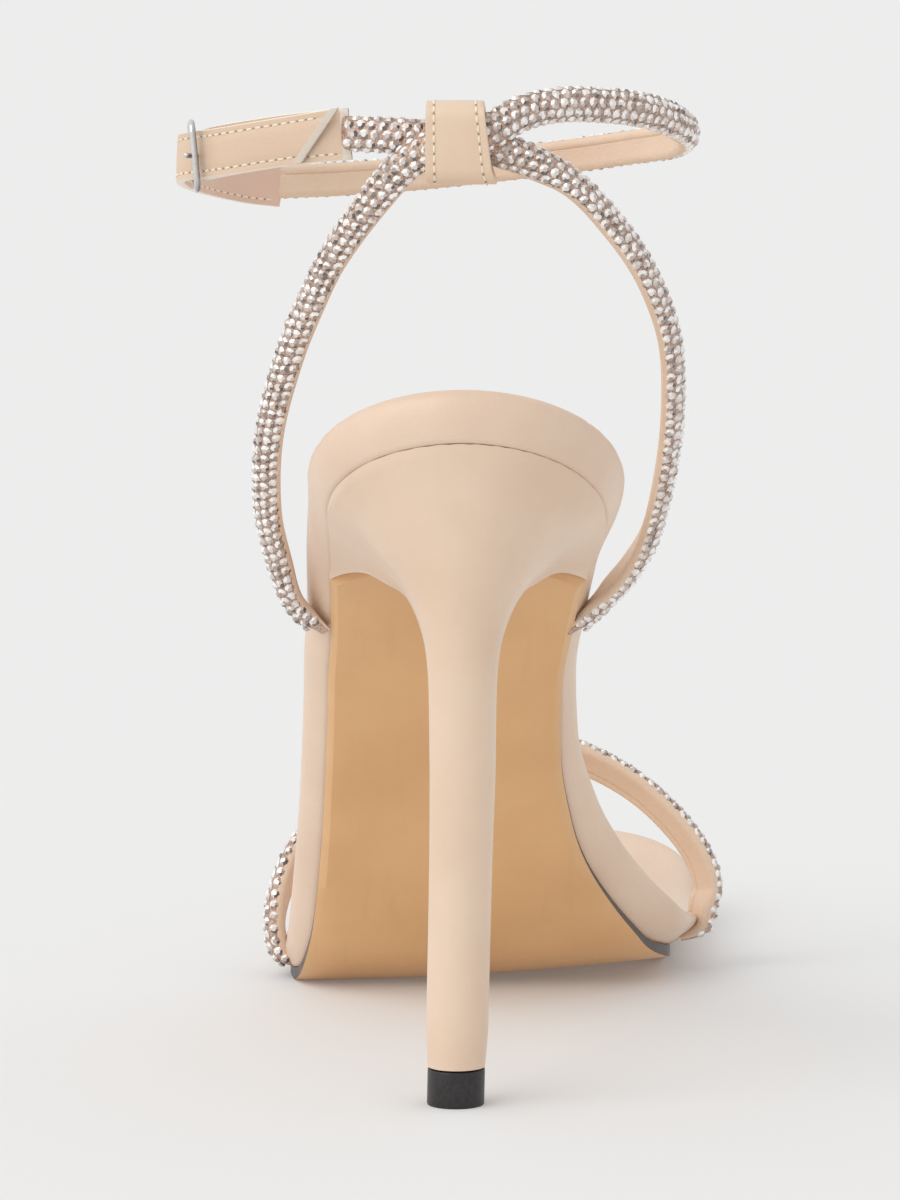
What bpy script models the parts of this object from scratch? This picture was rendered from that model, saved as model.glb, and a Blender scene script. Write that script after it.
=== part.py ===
# Strappy heeled sandal, left shoe, standing on its heel tip and forefoot.
# Built with +Y towards the toe, +X towards the inner side of the foot and +Z up, in metres.
# While it is built the origin is on the floor under the heel tip; place_on_origin then
# moves every piece so that the origin lies under the middle of the shoe.

import math
from collections import namedtuple

import bmesh
import bpy
from mathutils import Matrix, Vector

MM = 0.001

# Fits
SEAM_GAP = 0.3 * MM          # air left between two pieces that touch
STRAP_BEDDING = 0.35 * MM    # clearance round insole and outsole where a strap is tucked in

# Last and footbed
SOLE_LENGTH = 211 * MM       # along the floor, from the back of the seat to the toe
SEAT_OVERHANG = 12 * MM      # seat behind the middle of the heel tip
SEAT_RISE = 115 * MM         # back of the seat above the ball, on the underside of the insole
TOE_SPRING = 8 * MM
TREAD_TILT = 5.4 * MM        # rise of the sole's inner edge off the floor before the ball
SEAT_WIDTH = 55 * MM
WAIST_WIDTH = 49 * MM
BALL_WIDTH = 77.5 * MM
TOE_WIDTH = 66 * MM
SEAT_ROUND = 30 * MM         # length over which the seat rounds off
TOE_ROUND = 28 * MM          # length over which the toe rounds off
TOE_SQUARENESS = 3.0         # 2 is an ellipse, more is squarer
SEAT_WALL = 9.4 * MM         # padded side band of the insole at the seat
WAIST_WALL = 7.2 * MM
FORE_WALL = 5.6 * MM
SEAT_DISH = 3.0 * MM         # hollow for the heel of the foot
HUB_INSET = 0.8              # ends of the middle line of the dish, as a share of each rounding
WALL_TUCK = 4.5 * MM         # how far the band tucks in towards the outsole at the waist
OUTSOLE_THICKNESS = 2.2 * MM

# Heel
BREAST_CORNER = 38.5 * MM    # from the heel tip forward to the corners of the heel breast
BREAST_HOLLOW = 8 * MM       # how far the middle of the breast line lies behind its corners
HEEL_RIM = 1.0 * MM          # edge of the heel cup where it meets the footbed
CUP_INSET = 0.25 * MM        # cup inside the edge of the footbed
STEM_CORNER = math.radians(128)  # where the side of the stem turns into its front, from the back
STEM_WIDTH = 11.3 * MM
STEM_DEPTH = 11 * MM
STEM_TOP = 57 * MM           # height at which the cup has become the stem
STEM_FRONT = 0.86            # flattening of the stem's front half
TIP_WIDTH = 9.9 * MM
TIP_DEPTH = 9.8 * MM
LIFT_HEIGHT = 6.4 * MM
LIFT_SOLE = 0.96             # worn underside of the top lift, as a share of the tip
LIFT_EDGE = 0.5 * MM         # height of its worn edge
HEEL_LEAN = 1.2 * MM         # sideways offset of the seat from the heel tip

# Straps
STRAP_WIDTH = 6.4 * MM
STRAP_THICKNESS = 3.9 * MM
TOE_STRAP_WIDTH = 7.4 * MM
TOE_STRAP_THICKNESS = 4.2 * MM
LOOP_WIDTH = 89 * MM         # widest place of the ankle loop, buckle included
LOOP_DEPTH = 62 * MM         # from the keeper to the front of the ankle loop
KEEPER_RISE = 91 * MM        # crossing above the place where the straps leave the footbed
STRAP_TUCK = 52 * MM         # from the heel tip forward to that place
TOE_STRAP_HEIGHT = 42.6 * MM # crest of the toe strap above the floor
TOE_STRAP_OUTER = 117.5 * MM # its two ends, from the heel tip forward
TOE_STRAP_INNER = 127.8 * MM
TOE_STRAP_SWEEP = 14.5 * MM  # how far its crest lies in front of its outer end
TAIL_WIDTH = 8.2 * MM
TAB_WIDTH = 8.8 * MM
LEATHER = 1.5 * MM           # folded strap leather
SKIVE = 0.5                  # share of a strap's thickness left at a tucked end

# Keeper loop and buckle
KEEPER_WIDTH = 10.6 * MM
KEEPER_WALL = 1.2 * MM
KEEPER_CORNER = 1.6 * MM     # inside corner of the loop
KEEPER_SLACK = 0.45 * MM     # room between the loop and the straps in it
CROSSING_HEIGHT = 4.2 * MM   # how far the straps fan out inside the loop
CROSSING_DEPTH = 2.8 * MM    # how far one strap lies behind the other there
BUCKLE_HEIGHT = 12.6 * MM
BUCKLE_LENGTH = 8.6 * MM
BUCKLE_WIRE = 1.3 * MM
BUCKLE_CORNER = 2.0 * MM
BUCKLE_TURN = math.radians(95)   # from the X axis to the line between its two bars
TAIL_SLANT = -1.05           # cut of the tail's tip, as a slope
KEEPER_FLARE = 0.12          # how much narrower the loop is above than below
KEEPER_LEAN = 0.05
PRONG_WIRE = 1.1 * MM
PRONG_SLACK = 0.45 * MM      # room round the prong in its hole

# Colours
NUDE = (0.80, 0.63, 0.50)
TAN = (0.60, 0.37, 0.18)
STONES = (0.62, 0.56, 0.52)
BLACK = (0.03, 0.028, 0.03)
SILVER = (0.78, 0.78, 0.80)

# Fineness of the meshes
SEAT_STEPS = 9
LENGTH_STEPS = 30
TOE_STEPS = 9
CAP_STEPS = 6
SKIVE_STEPS = 5
SLANT_STEPS = 9
LIFT_SIDES = 28
DOME_POINTS = 7


# One row for each cross-section of the footbed, from the back of the seat to the toe.
# along: share of SOLE_LENGTH. rise: share of SEAT_RISE. spring: share of TOE_SPRING.
# tilt: share of TREAD_TILT. width: share of the named width. axis: sideways shift of the
# middle, share of BALL_WIDTH. wall: height of the side band. tuck_out and tuck_in: shares of
# WALL_TUCK on the outer and the inner side of the foot.
Section = namedtuple("Section", "along rise spring tilt width axis wall tuck_out tuck_in")
FOOTBED = [
    Section(0.000, 1.000, 0.00, 0.00, 1.00 * SEAT_WIDTH, 0.018, 1.00 * SEAT_WALL, 0.62, 0.62),
    Section(0.057, 0.939, 0.00, 0.00, 1.00 * SEAT_WIDTH, 0.018, 1.00 * SEAT_WALL, 0.66, 0.66),
    Section(0.142, 0.846, 0.00, 0.00, 1.00 * SEAT_WIDTH, 0.018, 1.00 * SEAT_WALL, 0.75, 0.66),
    Section(0.256, 0.717, 0.00, 0.00, 0.94 * SEAT_WIDTH, -0.018, 0.93 * SEAT_WALL, 0.95, 0.62),
    Section(0.303, 0.632, 0.00, 0.00, 0.91 * SEAT_WIDTH, -0.034, 0.87 * SEAT_WALL, 1.00, 0.60),
    Section(0.346, 0.529, 0.00, 0.00, 1.00 * WAIST_WIDTH, -0.052, 1.08 * WAIST_WALL, 1.00, 0.58),
    Section(0.389, 0.414, 0.00, 0.10, 1.02 * WAIST_WIDTH, -0.054, 1.00 * WAIST_WALL, 1.00, 0.68),
    Section(0.436, 0.285, 0.00, 0.30, 1.11 * WAIST_WIDTH, -0.039, 0.96 * WAIST_WALL, 1.00, 1.00),
    Section(0.469, 0.199, 0.00, 0.50, 0.765 * BALL_WIDTH, -0.020, 0.93 * WAIST_WALL, 1.00, 1.25),
    Section(0.507, 0.110, 0.00, 0.80, 0.849 * BALL_WIDTH, 0.008, 1.15 * FORE_WALL, 0.95, 1.36),
    Section(0.550, 0.034, 0.00, 1.00, 0.938 * BALL_WIDTH, 0.039, 1.10 * FORE_WALL, 0.70, 1.45),
    Section(0.578, 0.008, 0.00, 1.00, 0.968 * BALL_WIDTH, 0.048, 1.05 * FORE_WALL, 0.50, 1.15),
    Section(0.600, 0.000, 0.00, 0.95, 0.983 * BALL_WIDTH, 0.051, 1.00 * FORE_WALL, 0.36, 0.95),
    Section(0.649, 0.000, 0.00, 0.60, 1.00 * BALL_WIDTH, 0.057, 1.00 * FORE_WALL, 0.20, 1.05),
    Section(0.711, 0.000, 0.00, 0.00, 0.995 * BALL_WIDTH, 0.066, 1.00 * FORE_WALL, 0.16, 1.10),
    Section(0.765, 0.000, 0.00, 0.00, 0.97 * BALL_WIDTH, 0.078, 1.00 * FORE_WALL, 0.16, 0.55),
    Section(0.839, 0.000, 0.15, 0.00, 1.08 * TOE_WIDTH, 0.099, 1.00 * FORE_WALL, 0.16, 0.16),
    Section(0.919, 0.000, 0.50, 0.00, 1.00 * TOE_WIDTH, 0.123, 0.98 * FORE_WALL, 0.16, 0.16),
    Section(1.000, 0.000, 1.00, 0.00, 0.91 * TOE_WIDTH, 0.142, 0.95 * FORE_WALL, 0.16, 0.16),
]

# Side band of the insole from its bottom edge up: inset as a share of the tuck,
# height as a share of the wall, and an extra inset for the rolled top edge.
BandRow = namedtuple("BandRow", "tuck lift roll")
BAND = [
    BandRow(1.00, 0.00, 0.0 * MM),
    BandRow(0.62, 0.16, 0.0 * MM),
    BandRow(0.25, 0.38, 0.0 * MM),
    BandRow(0.03, 0.62, 0.0 * MM),
    BandRow(0.00, 0.78, 0.1 * MM),
    BandRow(0.00, 0.90, 0.7 * MM),
    BandRow(0.00, 0.98, 1.7 * MM),
    BandRow(0.00, 1.00, 3.0 * MM),
]

# Heel cup, from the footbed down to the stem: how far each point has gone in towards
# the stem, and how far it has left the footbed for the height of the stem, as shares.
FlareRow = namedtuple("FlareRow", "inward down")
FLARE = [
    FlareRow(0.00, 0.00),
    FlareRow(0.14, 0.05),
    FlareRow(0.32, 0.12),
    FlareRow(0.52, 0.23),
    FlareRow(0.69, 0.32),
    FlareRow(0.82, 0.41),
    FlareRow(0.91, 0.50),
    FlareRow(0.96, 0.58),
    FlareRow(0.99, 0.72),
    FlareRow(1.00, 1.00),
]

# Stem below the cup: share of the way down to the tip, and width and depth there.
StemRow = namedtuple("StemRow", "down width depth")
STEM = [
    StemRow(0.30, 0.96 * STEM_WIDTH, 0.95 * STEM_DEPTH),
    StemRow(0.62, 0.95 * STEM_WIDTH, 0.94 * STEM_DEPTH),
    StemRow(0.85, 0.95 * STEM_WIDTH, 0.94 * STEM_DEPTH),
    StemRow(1.00, 1.00 * TIP_WIDTH, 1.00 * TIP_DEPTH),
]


def slopes_of(places, values):
    """Slopes for a curve through the values that never overshoots them."""
    steps = [b - a for a, b in zip(places, places[1:])]
    rates = [(b - a) / step for a, b, step in zip(values, values[1:], steps)]
    slopes = [rates[0]]
    for left, right in zip(rates, rates[1:]):
        slopes.append(2 * left * right / (left + right) if left * right > 0 else 0.0)
    slopes.append(rates[-1])
    return slopes


class Curve:
    """A smooth curve through one column of a table."""

    def __init__(self, places, values):
        self.places = places
        self.values = values
        self.slopes = slopes_of(places, values)

    def at(self, place):
        place = min(max(place, self.places[0]), self.places[-1])
        i = 0
        while place > self.places[i + 1]:
            i += 1
        step = self.places[i + 1] - self.places[i]
        t = (place - self.places[i]) / step
        start = self.values[i] * (1 + 2 * t) * (1 - t) ** 2
        end = self.values[i + 1] * t * t * (3 - 2 * t)
        leave = self.slopes[i] * step * t * (1 - t) ** 2
        arrive = self.slopes[i + 1] * step * t * t * (t - 1)
        return start + end + leave + arrive


def columns(rows, key):
    """One smooth curve for each column of a table, over its key column."""
    places = [getattr(row, key) for row in rows]
    return {name: Curve(places, [getattr(row, name) for row in rows]) for name in rows[0]._fields}


BED = columns(FOOTBED, "along")
SEAT_BACK = -SEAT_OVERHANG
TOE_END = SOLE_LENGTH - SEAT_OVERHANG


def share_along(y):
    return (y - SEAT_BACK) / SOLE_LENGTH


def bed_height(y, x=None):
    """Height of the underside of the insole above the floor, in the middle where x isn't given."""
    share = share_along(y)
    across = 0.5
    if x is not None:
        across += (x - BED["axis"].at(share) * BALL_WIDTH) / BED["width"].at(share)
    height = OUTSOLE_THICKNESS + SEAM_GAP
    height += BED["rise"].at(share) * SEAT_RISE
    height += BED["spring"].at(share) * TOE_SPRING
    height += BED["tilt"].at(share) * TREAD_TILT * max(across, 0.0) ** 2
    return height


def bed_normal(y, x=None):
    step = 0.5 * MM
    front = min(y + step, TOE_END)
    back = max(y - step, SEAT_BACK)
    return Vector((0, bed_height(back, x) - bed_height(front, x), front - back)).normalized()


def end_round(reach, squareness):
    """Share of the full width at a share of the way in from a rounded end."""
    return (1 - (1 - min(reach, 1.0)) ** squareness) ** (1 / squareness)


def edge_point(y, side):
    """Plan outline of the insole. side is -1 on the outer side of the foot, 1 on the inner."""
    share = share_along(y)
    half = BED["width"].at(share) / 2
    half *= end_round((y - SEAT_BACK) / SEAT_ROUND, 2)
    half *= end_round((TOE_END - y) / TOE_ROUND, TOE_SQUARENESS)
    return Vector((BED["axis"].at(share) * BALL_WIDTH + side * half, y))


def sole_stations():
    """Places along the sole, close together where the seat and the toe round off."""
    turns = [math.pi / 2 * i / SEAT_STEPS for i in range(SEAT_STEPS)]
    seat = [SEAT_BACK + SEAT_ROUND * (1 - math.cos(angle)) for angle in turns]
    straight = TOE_END - TOE_ROUND - SEAT_BACK - SEAT_ROUND
    middle = [SEAT_BACK + SEAT_ROUND + straight * i / LENGTH_STEPS for i in range(LENGTH_STEPS + 1)]
    toe = []
    for i in range(1, TOE_STEPS + 1):
        angle = math.pi / 2 * i / TOE_STEPS
        toe.append(TOE_END - TOE_ROUND * (1 - math.sin(angle) ** (2 / TOE_SQUARENESS)))
    return seat + middle + toe


STATIONS = sole_stations()


def plan_outline():
    """Points round the sole with their outward directions: outer side forwards, inner side back."""
    forward = [edge_point(y, -1) for y in STATIONS]
    back = [edge_point(y, 1) for y in reversed(STATIONS[1:-1])]
    points = forward + back
    outline = []
    for i, point in enumerate(points):
        along = points[(i + 1) % len(points)] - points[i - 1]
        outline.append((point, Vector((-along.y, along.x)).normalized(), -1 if i < len(STATIONS) else 1))
    return outline


def bed_ring(tuck, lift, roll, above=0.0, spread=0.0):
    """One ring round the sole. The band leans in by its tuck and roll and stands square on the bed."""
    ring = []
    for point, outward, side in plan_outline():
        share = share_along(point.y)
        column = "tuck_out" if side < 0 else "tuck_in"
        end_blend = abs(outward.x)
        mean = (BED["tuck_out"].at(share) + BED["tuck_in"].at(share)) / 2
        own = BED[column].at(share) * end_blend + mean * (1 - end_blend)
        inset = tuck * own * WALL_TUCK + roll - spread
        place = point - outward * inset
        height = lift * BED["wall"].at(share) + above
        base = Vector((place.x, place.y, bed_height(place.y, place.x)))
        ring.append(base + bed_normal(place.y, place.x) * height)
    return ring


def inner_ring(rim, share, sink):
    """A ring drawn in from the rim towards the middle line of the sole, and sunk below it."""
    count = len(rim)
    half = len(STATIONS) - 1
    first = rim[0].y + HUB_INSET * SEAT_ROUND
    last = rim[half].y - HUB_INSET * TOE_ROUND
    hubs = [(rim[k] + rim[(count - k) % count]) / 2 for k in range(half + 1)]
    ring = []
    for i, point in enumerate(rim):
        middle = (point + rim[(count - i) % count]) / 2
        wanted = min(max(middle.y, first), last)
        hub = min(hubs, key=lambda place: abs(place.y - wanted))
        drawn = hub + (point - hub) * share
        normal = bed_normal(min(max(drawn.y, SEAT_BACK), TOE_END), drawn.x)
        ring.append(drawn - normal * sink(drawn.y))
    return ring


def faces_between(first, second, count):
    """Quads between two rings of the same number of points, given by their first index."""
    return [(first + i, first + (i + 1) % count, second + (i + 1) % count, second + i) for i in range(count)]


def strip_across(start, count, half):
    """Quads that close a ring by joining each point to the one across from it."""
    faces = []
    for i in range(half):
        left, left_next = start + i, start + i + 1
        right, right_next = start + (count - i) % count, start + (count - i - 1) % count
        corners = []
        for corner in (left, left_next, right_next, right):
            if corner not in corners:
                corners.append(corner)
        faces.append(tuple(corners))
    return faces


def cap_on_bed(vertices, count, half, sink):
    """Closes the first ring with rows of points that lie on the bed, from side to side."""
    rows = []
    for i in range(half + 1):
        left, right = i, (count - i) % count
        row = [left]
        for step in range(1, CAP_STEPS if left != right else 1):
            place = vertices[left].lerp(vertices[right], step / CAP_STEPS)
            place.z = bed_height(place.y, place.x) - sink / bed_normal(place.y, place.x).z
            row.append(len(vertices))
            vertices.append(place)
        rows.append(row + [right] * (left != right))
    faces = []
    for near, far in zip(rows, rows[1:]):
        for k in range(CAP_STEPS):
            corners = []
            for corner in (near[min(k, len(near) - 1)], near[min(k + 1, len(near) - 1)],
                           far[min(k + 1, len(far) - 1)], far[min(k, len(far) - 1)]):
                if corner not in corners:
                    corners.append(corner)
            faces.append(tuple(corners))
    return faces


def mesh_object(name, vertices, faces, color, roughness, metallic=0.0):
    """A closed mesh with its normals outwards, its own material and smooth shading."""
    mesh = bpy.data.meshes.new(name)
    mesh.from_pydata([tuple(v) for v in vertices], [], faces)
    body = bmesh.new()
    body.from_mesh(mesh)
    bmesh.ops.remove_doubles(body, verts=body.verts, dist=0.01 * MM)
    bmesh.ops.recalc_face_normals(body, faces=body.faces)
    body.to_mesh(mesh)
    body.free()
    mesh.shade_smooth()
    mesh.set_sharp_from_angle(angle=math.radians(40))
    mesh.materials.append(plain_material(name, color, roughness, metallic))
    piece = bpy.data.objects.new(name, mesh)
    SANDAL.objects.link(piece)
    return piece


def plain_material(name, color, roughness, metallic):
    material = bpy.data.materials.new(name + "_finish")
    material.use_nodes = True
    shader = material.node_tree.nodes["Principled BSDF"]
    shader.inputs["Base Color"].default_value = (*color, 1.0)
    shader.inputs["Roughness"].default_value = roughness
    shader.inputs["Metallic"].default_value = metallic
    return material


def as_cutter(piece):
    """Moves a piece to the cutters: it shapes others and isn't part of the sandal."""
    SANDAL.objects.unlink(piece)
    CUTTERS.objects.link(piece)
    piece.hide_render = True
    piece.display_type = "WIRE"
    return piece


def combine(piece, other, operation):
    modifier = piece.modifiers.new(other.name, "BOOLEAN")
    modifier.operation = operation
    modifier.solver = "EXACT"
    modifier.object = other


def seat_dish(y):
    """Depth of the hollow in the top of the footbed: deepest at the seat, slight under the toes."""
    share = share_along(y)
    seat = max(0.0, 1 - share / 0.45)
    return SEAT_DISH * (0.25 + 0.75 * seat)


def insole_shape(name, spread=0.0):
    """The padded footbed: a tucked-in side band, a rolled top edge and a hollow seat."""
    rings = [bed_ring(row.tuck, row.lift, row.roll, 0.0, spread) for row in BAND]
    if spread:
        rings[0] = bed_ring(1.0, 0.0, 0.0, -spread, spread)
        rings[-1] = bed_ring(0.0, 1.0, 3.0 * MM, spread, spread)
    rim = rings[-1]
    rings.append(inner_ring(rim, 0.80, lambda y: 0.45 * seat_dish(y)))
    rings.append(inner_ring(rim, 0.45, lambda y: 0.9 * seat_dish(y)))
    count = len(rim)
    half = len(STATIONS) - 1
    vertices = [point for ring in rings for point in ring]
    faces = []
    for i in range(len(rings) - 1):
        faces += faces_between(i * count, (i + 1) * count, count)
    faces += strip_across((len(rings) - 1) * count, count, half)
    faces += cap_on_bed(vertices, count, half, spread)
    return mesh_object(name, vertices, faces, NUDE, 0.45)


BREAST_SHARES = (-1.0, -0.66, -0.33, 0.0, 0.33, 0.66, 1.0)


def breast_line(share):
    """Place along the shoe of the breast line, at a share of the half width from the middle."""
    return BREAST_CORNER - BREAST_HOLLOW * (1 - share * share)


def outsole_half(y, side):
    """Half width of the outsole, which ends where the band of the insole tucks in."""
    share = share_along(y)
    column = "tuck_out" if side < 0 else "tuck_in"
    return BED["width"].at(share) / 2 - BED[column].at(share) * WALL_TUCK


def outsole_row(y, hollow, spread):
    """One row across the outsole: its points against the insole and those on the floor side."""
    left = BED["axis"].at(share_along(y)) * BALL_WIDTH
    narrow = end_round((TOE_END - y) / TOE_ROUND, TOE_SQUARENESS)
    right = left + (outsole_half(y, 1) + spread) * narrow
    left -= (outsole_half(y, -1) + spread) * narrow
    toe_reach = max(0.0, (y - TOE_END + TOE_ROUND) / TOE_ROUND)
    toe_inset = toe_reach * (BED["tuck_in"].at(1.0) * WALL_TUCK - spread)
    top, bottom = [], []
    for share in BREAST_SHARES:
        own_y = y - hollow * (1 - share * share) - toe_inset
        x = left + (right - left) * (share + 1) / 2
        base = Vector((x, own_y, bed_height(own_y, x)))
        normal = bed_normal(own_y, x)
        top.append(base - normal * (SEAM_GAP - spread))
        sheet = base - normal * (SEAM_GAP + OUTSOLE_THICKNESS + spread)
        if hollow == BREAST_HOLLOW:
            sheet = base - Vector((0, 0, (SEAM_GAP + OUTSOLE_THICKNESS + spread) / normal.z))
        sheet.z = max(sheet.z, -spread)
        bottom.append(sheet)
    return top, bottom


def outsole_shape(name, spread=0.0):
    """A thin sheet under the insole, from the heel breast to the toe, in rows across."""
    start = BREAST_CORNER + SEAM_GAP - spread
    rows = [start] + [y for y in STATIONS if y > start + 3 * MM]
    top, bottom = [], []
    for y in rows:
        hollow = BREAST_HOLLOW * max(0.0, 1 - (y - start) / (2.5 * BREAST_HOLLOW))
        row_top, row_bottom = outsole_row(y, hollow, spread)
        top += row_top
        bottom += row_bottom
    wide = len(BREAST_SHARES)
    size = len(top)
    faces = []
    for r in range(len(rows) - 1):
        for c in range(wide - 1):
            a = r * wide + c
            faces.append((a, a + 1, a + wide + 1, a + wide))
            faces.append((size + a, size + a + wide, size + a + wide + 1, size + a + 1))
        for c in (0, wide - 1):
            a = r * wide + c
            faces.append((a, a + wide, size + a + wide, size + a))
    for r in (0, len(rows) - 1):
        for c in range(wide - 1):
            a = r * wide + c
            faces.append((a, a + 1, size + a + 1, size + a))
    return mesh_object(name, top + bottom, faces, TAN, 0.35)


def stem_ring(width, depth, height, sides):
    """One level of the stem: a rounded back and a flatter front."""
    lean = HEEL_LEAN * height / STEM_TOP
    ring = []
    for angle in sides:
        front = STEM_FRONT if math.cos(angle) < 0 else 1.0
        x = lean - width / 2 * math.sin(angle)
        ring.append(Vector((x, -depth / 2 * math.cos(angle) * front, height)))
    return ring


def seat_edge(side):
    """Top edge of the heel cup on one side, from the middle of the back to the breast corner."""
    edge = bed_ring(1.0, 0.0, CUP_INSET, -SEAM_GAP)
    count = len(edge)
    last = max(i for i in range(len(STATIONS)) if edge[i].y < BREAST_CORNER - 2 * MM)
    points = [edge[i if side < 0 else (count - i) % count] for i in range(last + 1)]
    share = share_along(BREAST_CORNER)
    x = BED["axis"].at(share) * BALL_WIDTH + side * outsole_half(BREAST_CORNER, side)
    return points + [on_bed(x, BREAST_CORNER)]


def on_bed(x, y):
    """A point one seam gap under the footbed."""
    return Vector((x, y, bed_height(y))) - bed_normal(y) * SEAM_GAP


def heel():
    """The cup follows the edge of the footbed and flares in to the stem, which runs to the tip."""
    outer = seat_edge(-1)
    inner = seat_edge(1)
    breast = []
    for share in BREAST_SHARES[1:-1]:
        x = outer[-1].x + (inner[-1].x - outer[-1].x) * (share + 1) / 2
        breast.append(on_bed(x, breast_line(share)))
    rim = outer + breast + list(reversed(inner[1:]))
    side_count = len(outer)
    angles = [STEM_CORNER * i / (side_count - 1) for i in range(side_count)]
    front = 2 * math.pi - 2 * STEM_CORNER
    angles += [STEM_CORNER + front * (i + 1) / (len(breast) + 1) for i in range(len(breast))]
    angles += [2 * math.pi - angle for angle in reversed(angles[1:side_count])]
    stem_top = stem_ring(STEM_WIDTH, STEM_DEPTH, STEM_TOP, angles)
    rings = [rim]
    for row in FLARE:
        ring = []
        for start, end in zip(rim, stem_top):
            place = start.lerp(end, row.inward)
            below = bed_height(place.y) - (SEAM_GAP + HEEL_RIM) / bed_normal(place.y).z
            place.z = below + (end.z - below) * row.down
            ring.append(place)
        rings.append(ring)
    foot = LIFT_HEIGHT + SEAM_GAP
    for row in STEM:
        height = STEM_TOP + (foot - STEM_TOP) * row.down
        rings.append(stem_ring(row.width, row.depth, height, angles))
    count = len(rim)
    vertices = [point for ring in rings for point in ring]
    faces = []
    for i in range(len(rings) - 1):
        faces += faces_between(i * count, (i + 1) * count, count)
    faces.append(tuple((len(rings) - 1) * count + i for i in range(count)))
    faces += seat_cap(outer, count)
    return mesh_object("heel", vertices, faces, NUDE, 0.45)


def seat_cap(outer, count):
    """Strips across the top of the cup, and one face that fills it up to the breast line."""
    straight = max(i for i in range(len(outer)) if outer[i].y < breast_line(0) - 2 * MM)
    return strip_across(0, count, straight) + [tuple(range(straight, count - straight + 1))]


def top_lift():
    angles = [2 * math.pi * i / LIFT_SIDES for i in range(LIFT_SIDES)]
    bottom = stem_ring(LIFT_SOLE * TIP_WIDTH, LIFT_SOLE * TIP_DEPTH, 0.0, angles)
    lip = stem_ring(TIP_WIDTH, TIP_DEPTH, LIFT_EDGE, angles)
    top = stem_ring(TIP_WIDTH, TIP_DEPTH, LIFT_HEIGHT, angles)
    count = len(angles)
    faces = faces_between(0, count, count) + faces_between(count, 2 * count, count)
    faces.append(tuple(range(count)))
    faces.append(tuple(2 * count + i for i in range(count)))
    return mesh_object("top_lift", bottom + lip + top, faces, BLACK, 0.4)


# Straps run through stops chosen by hand. For the ankle straps, across is a share of
# LOOP_WIDTH, along a share of LOOP_DEPTH and up a share of KEEPER_RISE above the footbed's
# waist. For the toe strap they are shares of BALL_WIDTH, TOE_STRAP_SWEEP and
# TOE_STRAP_HEIGHT. face is the side that the dome of the strap looks to.
Stop = namedtuple("Stop", "across along up face")

OUTER_STRAP = [
    Stop(-0.360, 0.734, 0.138, (-0.96, -0.28, 0.00)),
    Stop(-0.381, 0.629, 0.255, (-0.95, -0.32, 0.05)),
    Stop(-0.373, 0.492, 0.414, (-0.92, -0.38, 0.08)),
    Stop(-0.329, 0.347, 0.575, (-0.85, -0.50, 0.14)),
    Stop(-0.283, 0.250, 0.687, (-0.76, -0.60, 0.22)),
    Stop(-0.233, 0.153, 0.784, (-0.66, -0.70, 0.28)),
    Stop(-0.145, 0.035, 0.905, (-0.40, -0.88, 0.24)),
    Stop(-0.073, -0.016, 0.976, (-0.15, -0.98, 0.10)),
    Stop(0.000, -0.021, 1.000, (0.02, -1.00, 0.05)),
    Stop(0.061, -0.003, 1.017, (0.12, -0.98, 0.15)),
    Stop(0.126, 0.058, 1.051, (0.28, -0.94, 0.22)),
    Stop(0.203, 0.135, 1.063, (0.42, -0.88, 0.22)),
    Stop(0.281, 0.216, 1.058, (0.58, -0.79, 0.20)),
    Stop(0.356, 0.316, 1.044, (0.74, -0.65, 0.16)),
    Stop(0.415, 0.435, 1.020, (0.92, -0.38, 0.10)),
    Stop(0.446, 0.581, 0.989, (0.99, 0.08, 0.05)),
    Stop(0.420, 0.726, 0.964, (0.85, 0.52, 0.04)),
    Stop(0.340, 0.852, 0.945, (0.58, 0.81, 0.04)),
    Stop(0.219, 0.945, 0.923, (0.32, 0.95, 0.04)),
    Stop(0.056, 0.992, 0.901, (0.06, 1.00, 0.04)),
    Stop(-0.112, 0.973, 0.885, (-0.20, 0.98, 0.04)),
    Stop(-0.247, 0.910, 0.879, (-0.42, 0.91, 0.04)),
    Stop(-0.348, 0.832, 0.879, (-0.54, 0.84, 0.04)),
]

INNER_STRAP = [
    Stop(0.337, 0.747, 0.129, (0.94, 0.34, -0.02)),
    Stop(0.375, 0.677, 0.205, (0.93, 0.36, 0.00)),
    Stop(0.410, 0.529, 0.370, (0.93, 0.36, 0.04)),
    Stop(0.419, 0.403, 0.514, (0.94, 0.30, 0.10)),
    Stop(0.407, 0.311, 0.628, (0.93, 0.22, 0.25)),
    Stop(0.361, 0.219, 0.746, (0.84, 0.08, 0.53)),
    Stop(0.299, 0.148, 0.839, (0.66, -0.18, 0.72)),
    Stop(0.224, 0.090, 0.918, (0.42, -0.50, 0.76)),
    Stop(0.147, 0.052, 0.961, (0.18, -0.84, 0.50)),
    Stop(0.073, 0.026, 0.987, (0.04, -0.98, 0.20)),
    Stop(0.000, 0.018, 1.002, (0.00, -1.00, 0.05)),
    Stop(-0.067, 0.031, 1.007, (-0.10, -0.99, 0.05)),
    Stop(-0.130, 0.045, 1.009, (-0.17, -0.98, 0.05)),
    Stop(-0.193, 0.068, 1.011, (-0.26, -0.96, 0.05)),
]

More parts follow.
